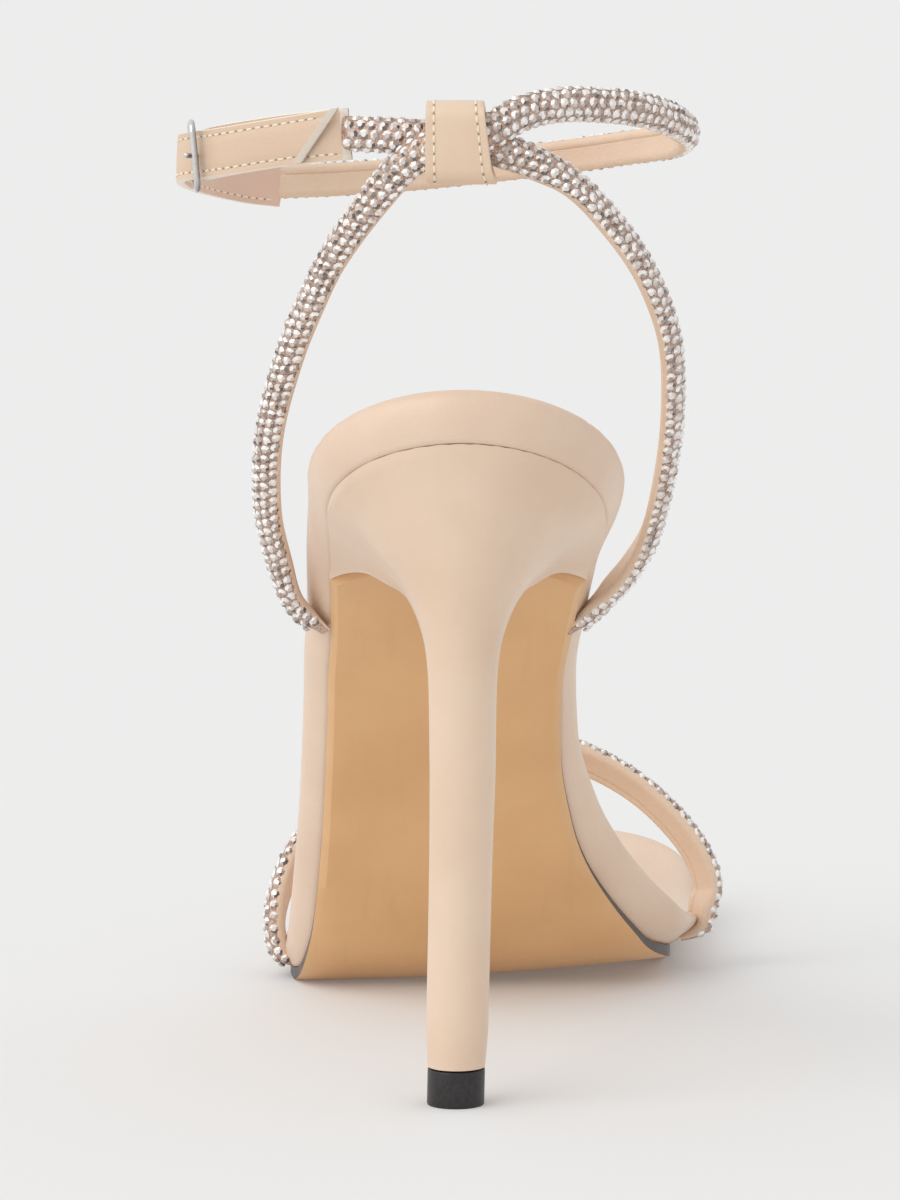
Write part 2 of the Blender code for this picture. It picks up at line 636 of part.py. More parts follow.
TOE_STRAP = [
    Stop(-0.452, 0.10, 0.385, (-0.97, 0.20, 0.10)),
    Stop(-0.412, 0.25, 0.548, (-0.86, 0.42, 0.28)),
    Stop(-0.335, 0.45, 0.712, (-0.68, 0.60, 0.42)),
    Stop(-0.219, 0.67, 0.856, (-0.42, 0.76, 0.50)),
    Stop(-0.077, 0.85, 0.957, (-0.18, 0.84, 0.51)),
    Stop(0.065, 0.95, 1.000, (0.00, 0.86, 0.50)),
    Stop(0.194, 0.98, 0.978, (0.16, 0.85, 0.50)),
    Stop(0.314, 0.97, 0.899, (0.34, 0.80, 0.48)),
    Stop(0.420, 0.94, 0.784, (0.50, 0.74, 0.45)),
    Stop(0.510, 0.88, 0.630, (0.70, 0.60, 0.36)),
    Stop(0.567, 0.82, 0.481, (0.84, 0.48, 0.24)),
    Stop(0.591, 0.76, 0.349, (0.93, 0.36, 0.10)),
]

BILLET = [
    Stop(-0.358, 0.823, 0.874, (-0.58, 0.81, 0.06)),
    Stop(-0.421, 0.745, 0.886, (-0.70, 0.70, 0.08)),
    Stop(-0.483, 0.645, 0.905, (-0.84, 0.53, 0.08)),
    Stop(-0.522, 0.530, 0.924, (-0.96, 0.24, 0.08)),
    Stop(-0.537, 0.415, 0.941, (-1.00, -0.02, 0.06)),
    Stop(-0.529, 0.320, 0.953, (-0.95, -0.30, 0.05)),
    Stop(-0.485, 0.247, 0.963, (-0.76, -0.65, 0.05)),
    Stop(-0.444, 0.184, 0.972, (-0.60, -0.80, 0.05)),
    Stop(-0.375, 0.134, 0.986, (-0.42, -0.90, 0.05)),
    Stop(-0.318, 0.096, 0.997, (-0.34, -0.94, 0.05)),
    Stop(-0.262, 0.060, 1.008, (-0.28, -0.96, 0.05)),
]

BUCKLE_TAB = [
    Stop(-0.204, 0.074, 1.010, (-0.26, -0.96, 0.05)),
    Stop(-0.264, 0.100, 1.004, (-0.32, -0.95, 0.05)),
    Stop(-0.337, 0.142, 0.993, (-0.44, -0.90, 0.05)),
    Stop(-0.404, 0.197, 0.980, (-0.56, -0.83, 0.05)),
    Stop(-0.454, 0.262, 0.968, (-0.74, -0.67, 0.05)),
    Stop(-0.484, 0.352, 0.957, (-0.94, -0.32, 0.05)),
]

# Middle of the keeper and of the buckle, as across, along and up on the ankle loop.
KEEPER_PLACE = (0.003, -0.003, 0.999)
BUCKLE_PLACE = (-0.509, 0.280, 0.957)

# Bends of the prong: shares of half the buckle's length and of LEATHER, outwards.
PRONG_BENDS = [
    (0.62, -0.50),
    (-0.06, -1.32),
    (-0.30, -1.40),
    (-0.64, 0.52),
    (-0.90, 1.26),
    (-1.22, 1.16),
    (-1.42, 0.46),
]


def loop_place(across, along, up):
    """A place on the ankle loop, from its shares."""
    waist = bed_height(STRAP_TUCK)
    return Vector((across * LOOP_WIDTH, along * LOOP_DEPTH, waist + up * KEEPER_RISE))


def toe_place(across, along, up):
    """A place on the toe strap, from its shares."""
    y = TOE_STRAP_OUTER + along * TOE_STRAP_SWEEP
    return Vector((across * BALL_WIDTH, y, up * TOE_STRAP_HEIGHT))


def route(stops, place):
    return [(place(stop.across, stop.along, stop.up), Vector(stop.face)) for stop in stops]


def tucked_end(y, side, thickness, stand_off, reach, lean):
    """The end of a strap: out from under the band of the insole and up beside it.
    stand_off is a share of the thickness, reach and lean are shares of the band's height."""
    edge = edge_point(y, side)
    wall = BED["wall"].at(share_along(y))
    base = bed_height(y, edge.x)
    under = Vector((edge.x - side * 0.85 * thickness, y, base))
    curve = Vector((edge.x + side * 0.12 * thickness, y - 0.3 * lean * wall, base + 0.38 * wall))
    beside = Vector((edge.x + side * stand_off * thickness, y - lean * wall, base + reach * wall))
    return [
        (under, Vector((side * 0.78, 0.0, -0.60))),
        (curve, Vector((side * 0.92, 0.0, -0.30))),
        (beside, Vector((side * 0.97, -0.1, 0.0))),
    ]


def smooth_path(stops, per_span):
    """Places and face directions read from a smooth curve through the stops."""
    points = [place for place, face in stops]
    reach = [0.0]
    for a, b in zip(points, points[1:]):
        reach.append(reach[-1] + (b - a).length)
    tracks = [spline_of(reach, [place[k] for place, face in stops]) for k in range(3)]
    faces = [spline_of(reach, [face[k] for place, face in stops]) for k in range(3)]
    steps = (len(stops) - 1) * per_span
    path = []
    for i in range(steps + 1):
        place = reach[-1] * i / steps
        point = Vector([track(place) for track in tracks])
        face = Vector([track(place) for track in faces])
        path.append((point, face))
    return path


def spline_of(places, values):
    """A smooth curve through the values that may swing a little past them, as a strap does."""
    slopes = []
    for i in range(len(places)):
        a, b = max(i - 1, 0), min(i + 1, len(places) - 1)
        slopes.append((values[b] - values[a]) / (places[b] - places[a]))
    curve = Curve(places, values)
    curve.slopes = slopes
    return curve.at


def dome_profile(width, thickness):
    """Half-round strap: a flat lining behind and a dome in front, as (across, out) pairs."""
    flat = -0.42 * thickness
    corner = 0.16 * width
    side = 0.48 * width
    points = [(-width / 2 + corner, flat), (width / 2 - corner, flat), (side, flat + 0.18 * thickness)]
    for i in range(DOME_POINTS):
        angle = math.pi * i / (DOME_POINTS - 1)
        height = flat + 0.34 * thickness + 0.66 * thickness * math.sin(angle)
        points.append((width / 2 * math.cos(angle), height))
    return points + [(-side, flat + 0.18 * thickness)]


def flat_profile(width, thickness):
    """Folded leather band with softened edges."""
    edge = 0.4 * thickness
    w, t = width / 2, thickness / 2
    return [(-w, -t + edge), (-w + edge, -t), (w - edge, -t), (w, -t + edge),
            (w, t - edge), (w - edge, t), (-w + edge, t), (-w, t - edge)]


def sweep(name, path, profile, color, roughness, slant=0.0, skived=()):
    """A strap: its profile carried along the path. slant cuts the far end off obliquely.
    skived lists the ends, 0 or -1, that are thinned to go between insole and outsole."""
    vertices = []
    last = len(path) - 1
    for i, (point, face) in enumerate(path):
        steps_in = min([i] * (0 in skived) + [last - i] * (-1 in skived) + [SKIVE_STEPS])
        thin = SKIVE + (1 - SKIVE) * steps_in / SKIVE_STEPS
        along = (path[min(i + 1, last)][0] - path[max(i - 1, 0)][0]).normalized()
        out = (face - along * face.dot(along)).normalized()
        across = along.cross(out)
        for side, rise in profile:
            cut = side * slant * max(0.0, 1 - (last - i) / SLANT_STEPS) ** 2
            vertices.append(point + across * side + out * rise * thin + along * cut)
    count = len(profile)
    faces = []
    for i in range(last):
        faces += faces_between(i * count, (i + 1) * count, count)
    faces.append(tuple(range(count)))
    faces.append(tuple(last * count + i for i in range(count)))
    return mesh_object(name, vertices, faces, color, roughness)


def ankle_straps(bedding):
    """Two straps that cross at the back of the ankle, joined there, and tucked in at the waist."""
    profile = dome_profile(STRAP_WIDTH, STRAP_THICKNESS)
    outer = tucked_end(STRAP_TUCK, -1, STRAP_THICKNESS, 0.74, 0.86, 0.38) + route(OUTER_STRAP, loop_place)
    inner = tucked_end(STRAP_TUCK, 1, STRAP_THICKNESS, 0.92, 0.80, 0.24) + route(INNER_STRAP, loop_place)
    straps = sweep("ankle_straps", smooth_path(outer, 2), profile, STONES, 0.3, skived=(0,))
    crossing = as_cutter(sweep("inner_strap", smooth_path(inner, 2), profile, STONES, 0.3, skived=(0,)))
    combine(straps, crossing, "UNION")
    for cutter in bedding:
        combine(straps, cutter, "DIFFERENCE")
    return straps


def toe_strap(bedding):
    """One strap over the toes, both ends tucked in at the ball of the foot."""
    profile = dome_profile(TOE_STRAP_WIDTH, TOE_STRAP_THICKNESS)
    start = tucked_end(TOE_STRAP_OUTER, -1, TOE_STRAP_THICKNESS, 0.42, 1.30, 0.0)
    end = tucked_end(TOE_STRAP_INNER, 1, TOE_STRAP_THICKNESS, 0.52, 1.30, 0.0)
    stops = start + route(TOE_STRAP, toe_place) + list(reversed(end))
    strap = sweep("toe_strap", smooth_path(stops, 2), profile, STONES, 0.3, skived=(0, -1))
    for cutter in bedding:
        combine(strap, cutter, "DIFFERENCE")
    return strap


def rounded_ring(height, depth, corner, steps):
    """Rounded rectangle in the plane across the keeper, as (depth, height) pairs."""
    points = []
    for side_d, side_h, start in ((1, 1, 0), (-1, 1, 90), (-1, -1, 180), (1, -1, 270)):
        for i in range(steps):
            angle = math.radians(start + 90 * i / (steps - 1))
            d = side_d * (depth / 2 - corner) + corner * math.cos(angle)
            h = side_h * (height / 2 - corner) + corner * math.sin(angle)
            points.append((d, h))
    return points


def keeper():
    """A flat leather loop round the crossing, open to both sides, a little wider below."""
    height = STRAP_WIDTH + CROSSING_HEIGHT + 2 * KEEPER_SLACK
    depth = STRAP_THICKNESS + CROSSING_DEPTH + 2 * KEEPER_SLACK
    inner = rounded_ring(height, depth, KEEPER_CORNER, 5)
    around = 2 * KEEPER_WALL
    outer = rounded_ring(height + around, depth + around, KEEPER_CORNER + KEEPER_WALL, 5)
    middle = loop_place(*KEEPER_PLACE)
    vertices = []
    for side in (-1, 1):
        for loop in (outer, inner):
            for d, h in loop:
                flare = 1 - KEEPER_FLARE * h / height
                x = side * KEEPER_WIDTH / 2 * flare - KEEPER_LEAN * h
                vertices.append(middle + Vector((x, d, h)))
    count = len(outer)
    left_out, left_in, right_out, right_in = 0, count, 2 * count, 3 * count
    faces = faces_between(left_out, right_out, count)
    faces += faces_between(left_in, right_in, count)
    faces += faces_between(left_out, left_in, count)
    faces += faces_between(right_out, right_in, count)
    return mesh_object("keeper", vertices, faces, NUDE, 0.45)


def billet():
    """The tail: from the end of the ankle strap, through the buckle and back over the tab."""
    path = smooth_path(route(BILLET, loop_place), 3)
    tail = sweep("billet", path, flat_profile(TAIL_WIDTH, LEATHER), NUDE, 0.45, TAIL_SLANT)
    combine(tail, prong_hole(), "DIFFERENCE")
    return tail


def prong_hole():
    """Punch for the hole in the tail, along the stretch of the prong that goes through it."""
    inside, outside = prong_bends()[2:4]
    punch = outside - inside
    mesh = bpy.data.meshes.new("prong_hole")
    body = bmesh.new()
    radius = PRONG_WIRE / 2 + PRONG_SLACK
    bmesh.ops.create_cone(body, cap_ends=True, segments=12, radius1=radius, radius2=radius, depth=3 * LEATHER)
    turn = Vector((0, 0, 1)).rotation_difference(punch.normalized()).to_matrix().to_4x4()
    body.transform(Matrix.Translation((inside + outside) / 2) @ turn)
    body.to_mesh(mesh)
    body.free()
    punch_piece = bpy.data.objects.new("prong_hole", mesh)
    SANDAL.objects.link(punch_piece)
    return as_cutter(punch_piece)


def prong_bends():
    """The prong: from the far bar behind the tail, out through its hole and over the near bar."""
    middle, along, out = buckle_axes()
    reach = (BUCKLE_LENGTH - BUCKLE_WIRE) / 2
    return [middle + along * (a * reach) + out * (o * LEATHER) for a, o in PRONG_BENDS]


def buckle_tab():
    path = smooth_path(route(BUCKLE_TAB, loop_place), 3)
    return sweep("buckle_tab", path, flat_profile(TAB_WIDTH, LEATHER), NUDE, 0.45)


def wire_mesh(name, points, thickness, closed, color):
    """A wire bent through the points, made a mesh with its ends welded shut."""
    curve = bpy.data.curves.new(name, "CURVE")
    curve.dimensions = "3D"
    curve.bevel_depth = thickness / 2
    curve.bevel_resolution = 2
    curve.use_fill_caps = not closed
    line = curve.splines.new("POLY")
    line.points.add(len(points) - 1)
    for bend, point in zip(line.points, points):
        bend.co = (*point, 1.0)
    line.use_cyclic_u = closed
    guide = bpy.data.objects.new(name + "_line", curve)
    SANDAL.objects.link(guide)
    bpy.context.view_layer.update()
    mesh = bpy.data.meshes.new_from_object(guide.evaluated_get(bpy.context.evaluated_depsgraph_get()))
    bpy.data.objects.remove(guide)
    body = bmesh.new()
    body.from_mesh(mesh)
    bmesh.ops.remove_doubles(body, verts=body.verts, dist=0.01 * MM)
    bmesh.ops.recalc_face_normals(body, faces=body.faces)
    body.to_mesh(mesh)
    body.free()
    mesh.shade_smooth()
    mesh.materials.clear()
    mesh.materials.append(plain_material(name, color, 0.2, 1.0))
    piece = bpy.data.objects.new(name, mesh)
    SANDAL.objects.link(piece)
    return piece


def buckle_axes():
    """Middle of the buckle and the directions along the strap and outwards."""
    along = Vector((math.cos(BUCKLE_TURN), math.sin(BUCKLE_TURN), -0.12)).normalized()
    out = Vector((-along.y, along.x, 0)).normalized()
    return loop_place(*BUCKLE_PLACE), along, out


def buckle_frame():
    """A rounded rectangle of wire, one bar under the tail and one over it."""
    middle, along, out = buckle_axes()
    up = along.cross(out)
    loop = rounded_ring(BUCKLE_HEIGHT - BUCKLE_WIRE, BUCKLE_LENGTH - BUCKLE_WIRE, BUCKLE_CORNER, 4)
    points = [middle + along * d + up * h for d, h in loop]
    return wire_mesh("buckle_frame", points, BUCKLE_WIRE, True, SILVER)


def buckle_prong():
    """A short wire prong whose tip rests on the near bar."""
    return wire_mesh("buckle_prong", prong_bends(), PRONG_WIRE, False, SILVER)


def place_on_origin(pieces):
    """Moves the sandal so that its origin lies on the floor, under the middle of its box."""
    bpy.context.view_layer.update()
    graph = bpy.context.evaluated_depsgraph_get()
    low, high = Vector((9, 9, 9)), Vector((-9, -9, -9))
    for piece in pieces:
        for vertex in piece.evaluated_get(graph).data.vertices:
            low = Vector(map(min, low, vertex.co))
            high = Vector(map(max, high, vertex.co))
    move = Matrix.Translation((-(low.x + high.x) / 2, -(low.y + high.y) / 2, -low.z))
    for thing in list(SANDAL.objects) + list(CUTTERS.objects):
        thing.data.transform(move)


for leftover in list(bpy.data.objects):
    bpy.data.objects.remove(leftover)

SANDAL = bpy.data.collections.new("strappy_heeled_sandal")
CUTTERS = bpy.data.collections.new("cutters")
bpy.context.scene.collection.children.link(SANDAL)
bpy.context.scene.collection.children.link(CUTTERS)
CUTTERS.hide_render = True

insole_shape("insole")
outsole_shape("outsole")
heel()
top_lift()
bedding = [
    as_cutter(insole_shape("insole_clearance", STRAP_BEDDING)),
    as_cutter(outsole_shape("outsole_clearance", STRAP_BEDDING)),
]
toe_strap(bedding)
ankle_straps(bedding)
keeper()
billet()
buckle_tab()
buckle_frame()
buckle_prong()
place_on_origin(list(SANDAL.objects))
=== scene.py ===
import math
import random
from collections import namedtuple

import bmesh
import bpy
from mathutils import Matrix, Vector


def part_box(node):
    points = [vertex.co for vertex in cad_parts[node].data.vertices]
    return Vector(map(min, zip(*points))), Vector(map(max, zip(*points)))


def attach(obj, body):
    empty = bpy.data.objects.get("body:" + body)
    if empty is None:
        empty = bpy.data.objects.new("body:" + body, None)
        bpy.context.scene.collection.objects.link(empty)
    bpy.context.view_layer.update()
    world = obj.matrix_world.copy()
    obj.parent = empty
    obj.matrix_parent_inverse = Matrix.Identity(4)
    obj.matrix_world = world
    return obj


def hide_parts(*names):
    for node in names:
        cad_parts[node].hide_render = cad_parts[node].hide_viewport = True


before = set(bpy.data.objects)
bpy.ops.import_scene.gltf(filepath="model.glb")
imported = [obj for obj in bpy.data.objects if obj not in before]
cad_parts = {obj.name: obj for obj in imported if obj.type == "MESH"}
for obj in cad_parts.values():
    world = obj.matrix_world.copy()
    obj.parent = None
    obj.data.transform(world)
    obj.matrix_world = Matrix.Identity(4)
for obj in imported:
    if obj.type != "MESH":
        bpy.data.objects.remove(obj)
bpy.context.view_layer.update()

MM = 0.001
SHOE = bpy.context.scene.collection


# Footbed
# The padded footbed: board and foam wrapped in one piece of nude calf that is pulled round
# the side and tucked in over the outsole. The leather gathers a little where it turns the
# tight curve behind the heel and at the ball of the foot.

SOLE_LENGTH = 211 * MM
SEAT_OVERHANG = 12 * MM
SEAT_RISE = 115 * MM
TOE_SPRING = 8 * MM
TREAD_TILT = 5.4 * MM
SEAT_WIDTH = 55 * MM
WAIST_WIDTH = 49 * MM
BALL_WIDTH = 77.5 * MM
TOE_WIDTH = 66 * MM
SEAT_ROUND = 30 * MM
TOE_ROUND = 28 * MM
TOE_SQUARENESS = 3.0
SEAT_WALL = 9.4 * MM
WAIST_WALL = 7.2 * MM
FORE_WALL = 5.6 * MM
SEAT_DISH = 3.0 * MM
WALL_TUCK = 4.5 * MM
OUTSOLE_THICKNESS = 2.2 * MM
SEAM_GAP = 0.3 * MM
TIP_WIDTH = 9.9 * MM
TIP_DEPTH = 9.8 * MM

# The shoe is laid out from the middle of its heel tip, which the top lift's box gives.
lift_low, lift_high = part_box("top_lift")
HEEL_TIP = Vector((lift_low[0] + TIP_WIDTH / 2, lift_low[1] + TIP_DEPTH / 2, 0.0))

Section = namedtuple("Section", "along rise spring tilt width axis wall tuck_out tuck_in")
FOOTBED = [
    Section(0.000, 1.000, 0.00, 0.00, 1.00 * SEAT_WIDTH, 0.018, 1.00 * SEAT_WALL, 0.62, 0.62),
    Section(0.057, 0.939, 0.00, 0.00, 1.00 * SEAT_WIDTH, 0.018, 1.00 * SEAT_WALL, 0.66, 0.66),
    Section(0.142, 0.846, 0.00, 0.00, 1.00 * SEAT_WIDTH, 0.018, 1.00 * SEAT_WALL, 0.75, 0.66),
    Section(0.256, 0.717, 0.00, 0.00, 0.94 * SEAT_WIDTH, -0.018, 0.93 * SEAT_WALL, 0.95, 0.62),
    Section(0.303, 0.632, 0.00, 0.00, 0.91 * SEAT_WIDTH, -0.034, 0.87 * SEAT_WALL, 1.00, 0.60),
    Section(0.346, 0.529, 0.00, 0.00, 1.00 * WAIST_WIDTH, -0.052, 1.08 * WAIST_WALL, 1.00, 0.58),
    Section(0.389, 0.414, 0.00, 0.10, 1.02 * WAIST_WIDTH, -0.054, 1.00 * WAIST_WALL, 1.00, 0.68),
    Section(0.436, 0.285, 0.00, 0.30, 1.11 * WAIST_WIDTH, -0.039, 0.96 * WAIST_WALL, 1.00, 1.00),
    Section(0.469, 0.199, 0.00, 0.50, 0.765 * BALL_WIDTH, -0.020, 0.93 * WAIST_WALL, 1.00, 1.25),
    Section(0.507, 0.110, 0.00, 0.80, 0.849 * BALL_WIDTH, 0.008, 1.15 * FORE_WALL, 0.95, 1.36),
    Section(0.550, 0.034, 0.00, 1.00, 0.938 * BALL_WIDTH, 0.039, 1.10 * FORE_WALL, 0.70, 1.45),
    Section(0.578, 0.008, 0.00, 1.00, 0.968 * BALL_WIDTH, 0.048, 1.05 * FORE_WALL, 0.50, 1.15),
    Section(0.600, 0.000, 0.00, 0.95, 0.983 * BALL_WIDTH, 0.051, 1.00 * FORE_WALL, 0.36, 0.95),
    Section(0.649, 0.000, 0.00, 0.60, 1.00 * BALL_WIDTH, 0.057, 1.00 * FORE_WALL, 0.20, 1.20),
    Section(0.711, 0.000, 0.00, 0.00, 0.995 * BALL_WIDTH, 0.066, 1.00 * FORE_WALL, 0.16, 1.50),
    Section(0.765, 0.000, 0.00, 0.00, 0.97 * BALL_WIDTH, 0.078, 1.00 * FORE_WALL, 0.16, 1.40),
    Section(0.839, 0.000, 0.15, 0.00, 1.08 * TOE_WIDTH, 0.099, 1.00 * FORE_WALL, 0.16, 0.80),
    Section(0.919, 0.000, 0.50, 0.00, 1.00 * TOE_WIDTH, 0.123, 0.98 * FORE_WALL, 0.16, 0.16),
    Section(1.000, 0.000, 1.00, 0.00, 0.91 * TOE_WIDTH, 0.142, 0.95 * FORE_WALL, 0.16, 0.16),
]

# Side of the footbed from its bottom edge up and over the rolled top edge.
BandRow = namedtuple("BandRow", "tuck lift roll")
BAND = [
    BandRow(1.00, 0.00, 0.00 * MM),
    BandRow(0.82, 0.06, 0.00 * MM),
    BandRow(0.62, 0.16, 0.00 * MM),
    BandRow(0.42, 0.27, 0.00 * MM),
    BandRow(0.25, 0.38, 0.00 * MM),
    BandRow(0.12, 0.50, 0.00 * MM),
    BandRow(0.04, 0.62, 0.00 * MM),
    BandRow(0.00, 0.72, 0.02 * MM),
    BandRow(0.00, 0.80, 0.15 * MM),
    BandRow(0.00, 0.87, 0.45 * MM),
    BandRow(0.00, 0.925, 0.90 * MM),
    BandRow(0.00, 0.965, 1.45 * MM),
    BandRow(0.00, 0.99, 2.15 * MM),
    BandRow(0.00, 1.00, 3.00 * MM),
]

# Creases in the leather: place is measured round the edge from the middle of the back, minus
# on the outer side of the foot. low and high bound it on the band, depth is into the leather.
Crease = namedtuple("Crease", "place low high width depth skew")
CREASES = [
    Crease(-33 * MM, 0.35, 1.05, 1.1 * MM, 0.22 * MM, -2.0 * MM),
    Crease(-29 * MM, 0.20, 0.95, 0.9 * MM, 0.16 * MM, -1.0 * MM),
    Crease(-24 * MM, 0.45, 1.05, 1.3 * MM, 0.20 * MM, 0.5 * MM),
    Crease(-17 * MM, 0.40, 1.00, 1.2 * MM, 0.14 * MM, 1.0 * MM),
    Crease(-7 * MM, 0.55, 1.05, 1.6 * MM, 0.12 * MM, 1.5 * MM),
    Crease(9 * MM, 0.50, 1.05, 1.4 * MM, 0.13 * MM, -1.2 * MM),
    Crease(16 * MM, 0.30, 1.00, 1.2 * MM, 0.20 * MM, -0.8 * MM),
    Crease(21 * MM, 0.25, 0.95, 1.0 * MM, 0.22 * MM, 0.8 * MM),
    Crease(26 * MM, 0.45, 1.05, 1.2 * MM, 0.25 * MM, 1.4 * MM),
    Crease(31 * MM, 0.30, 1.00, 1.0 * MM, 0.18 * MM, 2.0 * MM),
    Crease(38 * MM, 0.40, 1.05, 1.5 * MM, 0.16 * MM, 1.5 * MM),
    Crease(150 * MM, 0.30, 1.00, 1.2 * MM, 0.16 * MM, 1.5 * MM),
    Crease(156 * MM, 0.25, 1.05, 0.9 * MM, 0.34 * MM, 2.2 * MM),
    Crease(163 * MM, 0.35, 1.05, 1.4 * MM, 0.16 * MM, -1.4 * MM),
    Crease(-140 * MM, 0.30, 1.00, 1.4 * MM, 0.12 * MM, 1.5 * MM),
    Crease(-149 * MM, 0.35, 1.05, 1.2 * MM, 0.14 * MM, -1.0 * MM),
]


def slopes_of(places, values):
    steps = [b - a for a, b in zip(places, places[1:])]
    rates = [(b - a) / step for a, b, step in zip(values, values[1:], steps)]
    slopes = [rates[0]]
    for left, right in zip(rates, rates[1:]):
        slopes.append(2 * left * right / (left + right) if left * right > 0 else 0.0)
    return slopes + [rates[-1]]


class Curve:
    """A smooth curve through one column of a table."""

    def __init__(self, places, values, slopes=None):
        self.places = places
        self.values = values
        self.slopes = slopes or slopes_of(places, values)

    def at(self, place):
        place = min(max(place, self.places[0]), self.places[-1])
        i = 0
        while place > self.places[i + 1]:
            i += 1
        step = self.places[i + 1] - self.places[i]
        t = (place - self.places[i]) / step
        start = self.values[i] * (1 + 2 * t) * (1 - t) ** 2
        end = self.values[i + 1] * t * t * (3 - 2 * t)
        leave = self.slopes[i] * step * t * (1 - t) ** 2
        arrive = self.slopes[i + 1] * step * t * t * (t - 1)
        return start + end + leave + arrive


def columns(rows, key):
    places = [getattr(row, key) for row in rows]
    return {name: Curve(places, [getattr(row, name) for row in rows]) for name in rows[0]._fields}


BED = columns(FOOTBED, "along")
SEAT_BACK = -SEAT_OVERHANG
TOE_END = SOLE_LENGTH - SEAT_OVERHANG


def share_along(y):
    return (y - SEAT_BACK) / SOLE_LENGTH


def bed_height(y, x=None):
    """Height of the underside of the footbed."""
    share = share_along(y)
    across = 0.5
    if x is not None:
        across += (x - BED["axis"].at(share) * BALL_WIDTH) / BED["width"].at(share)
    height = OUTSOLE_THICKNESS + SEAM_GAP
    height += BED["rise"].at(share) * SEAT_RISE
    height += BED["spring"].at(share) * TOE_SPRING
    height += BED["tilt"].at(share) * TREAD_TILT * max(across, 0.0) ** 2
    return height


def bed_normal(y, x=None):
    step = 0.5 * MM
    front = min(y + step, TOE_END)
    back = max(y - step, SEAT_BACK)
    return Vector((0, bed_height(back, x) - bed_height(front, x), front - back)).normalized()


def end_round(reach, squareness):
    return (1 - (1 - min(max(reach, 0.0), 1.0)) ** squareness) ** (1 / squareness)


def edge_point(y, side):
    share = share_along(y)
    half = BED["width"].at(share) / 2
    half *= end_round((y - SEAT_BACK) / SEAT_ROUND, 2)
    half *= end_round((TOE_END - y) / TOE_ROUND, TOE_SQUARENESS)
    return Vector((BED["axis"].at(share) * BALL_WIDTH + side * half, y))


def sole_stations(seat_steps, length_steps, toe_steps):
    seat = [SEAT_BACK + SEAT_ROUND * (1 - math.cos(math.pi / 2 * i / seat_steps))
            for i in range(seat_steps)]
    straight = TOE_END - TOE_ROUND - SEAT_BACK - SEAT_ROUND
    middle = [SEAT_BACK + SEAT_ROUND + straight * i / length_steps for i in range(length_steps + 1)]
    toe = []
    for i in range(1, toe_steps + 1):
        angle = math.pi / 2 * i / toe_steps
        toe.append(TOE_END - TOE_ROUND * (1 - math.sin(angle) ** (2 / TOE_SQUARENESS)))
    return seat + middle + toe


STATIONS = sole_stations(32, 190, 26)


def plan_outline():
    forward = [edge_point(y, -1) for y in STATIONS]
    back = [edge_point(y, 1) for y in reversed(STATIONS[1:-1])]
    points = forward + back
    outline = []
    for i, point in enumerate(points):
        along = points[(i + 1) % len(points)] - points[i - 1]
        outline.append((point, Vector((-along.y, along.x)).normalized(), -1 if i < len(STATIONS) else 1))
    return outline


OUTLINE = plan_outline()


def bed_ring(tuck, lift, roll, above=0.0, dents=None):
    """One ring round the sole. dents are how far the leather is pressed in at each point."""
    ring = []
    for i, (point, outward, side) in enumerate(OUTLINE):
        share = share_along(point.y)
        column = "tuck_out" if side < 0 else "tuck_in"
        end_blend = abs(outward.x)
        mean = (BED["tuck_out"].at(share) + BED["tuck_in"].at(share)) / 2
        own = BED[column].at(share) * end_blend + mean * (1 - end_blend)
        dent = dents[i] if dents else 0.0
        place = point - outward * (tuck * own * WALL_TUCK + roll + dent)
        height = lift * BED["wall"].at(share) + above - dent * (lift > 0.85)
        base = Vector((place.x, place.y, bed_height(place.y, place.x)))
        ring.append(base + bed_normal(place.y, place.x) * height)
    return ring


def round_edge_places():
    """How far each point of the outline is round the edge from the middle of the back."""
    count = len(OUTLINE)
    half = len(STATIONS) - 1
    forward, back = [0.0], [0.0]
    for i in range(1, half + 1):
        forward.append(forward[-1] - (OUTLINE[i][0] - OUTLINE[i - 1][0]).length)
    for i in range(1, half):
        back.append(back[-1] + (OUTLINE[-i][0] - OUTLINE[(count - i + 1) % count][0]).length)
    return forward + [back[k] for k in range(half - 1, 0, -1)]


EDGE_PLACES = round_edge_places()


def dents_at(level):
    """Depth of the creases round the whole edge, at one level of the band."""
    dents = []
    for place in EDGE_PLACES:
        depth = 0.0
        for crease in CREASES:
            middle = (crease.low + crease.high) / 2
            reach = (crease.high - crease.low) / 2
            fade = max(0.0, 1 - ((level - middle) / reach) ** 2)
            off = place - crease.place - crease.skew * (level - middle)
            trough = math.exp(-((off / crease.width) ** 2))
            ridge = math.exp(-(((abs(off) - 1.9 * crease.width) / crease.width) ** 2))
            depth += 0.5 * crease.depth * fade * (trough - 0.35 * ridge)
        dents.append(depth)
    return dents


def seat_dish(y):
    seat = max(0.0, 1 - share_along(y) / 0.45)
    return SEAT_DISH * (0.25 + 0.75 * seat)


def inner_ring(rim, share, sink):
    """A ring drawn in from the rim towards the middle line of the sole, and sunk below it."""
    count = len(rim)
    half = len(STATIONS) - 1
    hubs = [(rim[k] + rim[(count - k) % count]) / 2 for k in range(half + 1)]
    ring = []
    near = 0
    for i, point in enumerate(rim):
        middle = (point + rim[(count - i) % count]) / 2
        hub_y = min(max(middle.y, rim[0].y + SEAT_ROUND * 0.8), rim[half].y - TOE_ROUND * 0.8)
        while near < half and hubs[near].y < hub_y:
            near += 1
        while near > 0 and hubs[near - 1].y > hub_y:
            near -= 1
        drawn = hubs[near] + (point - hubs[near]) * share
        normal = bed_normal(min(max(drawn.y, SEAT_BACK), TOE_END), drawn.x)
        ring.append(drawn - normal * sink(drawn.y))
    return ring


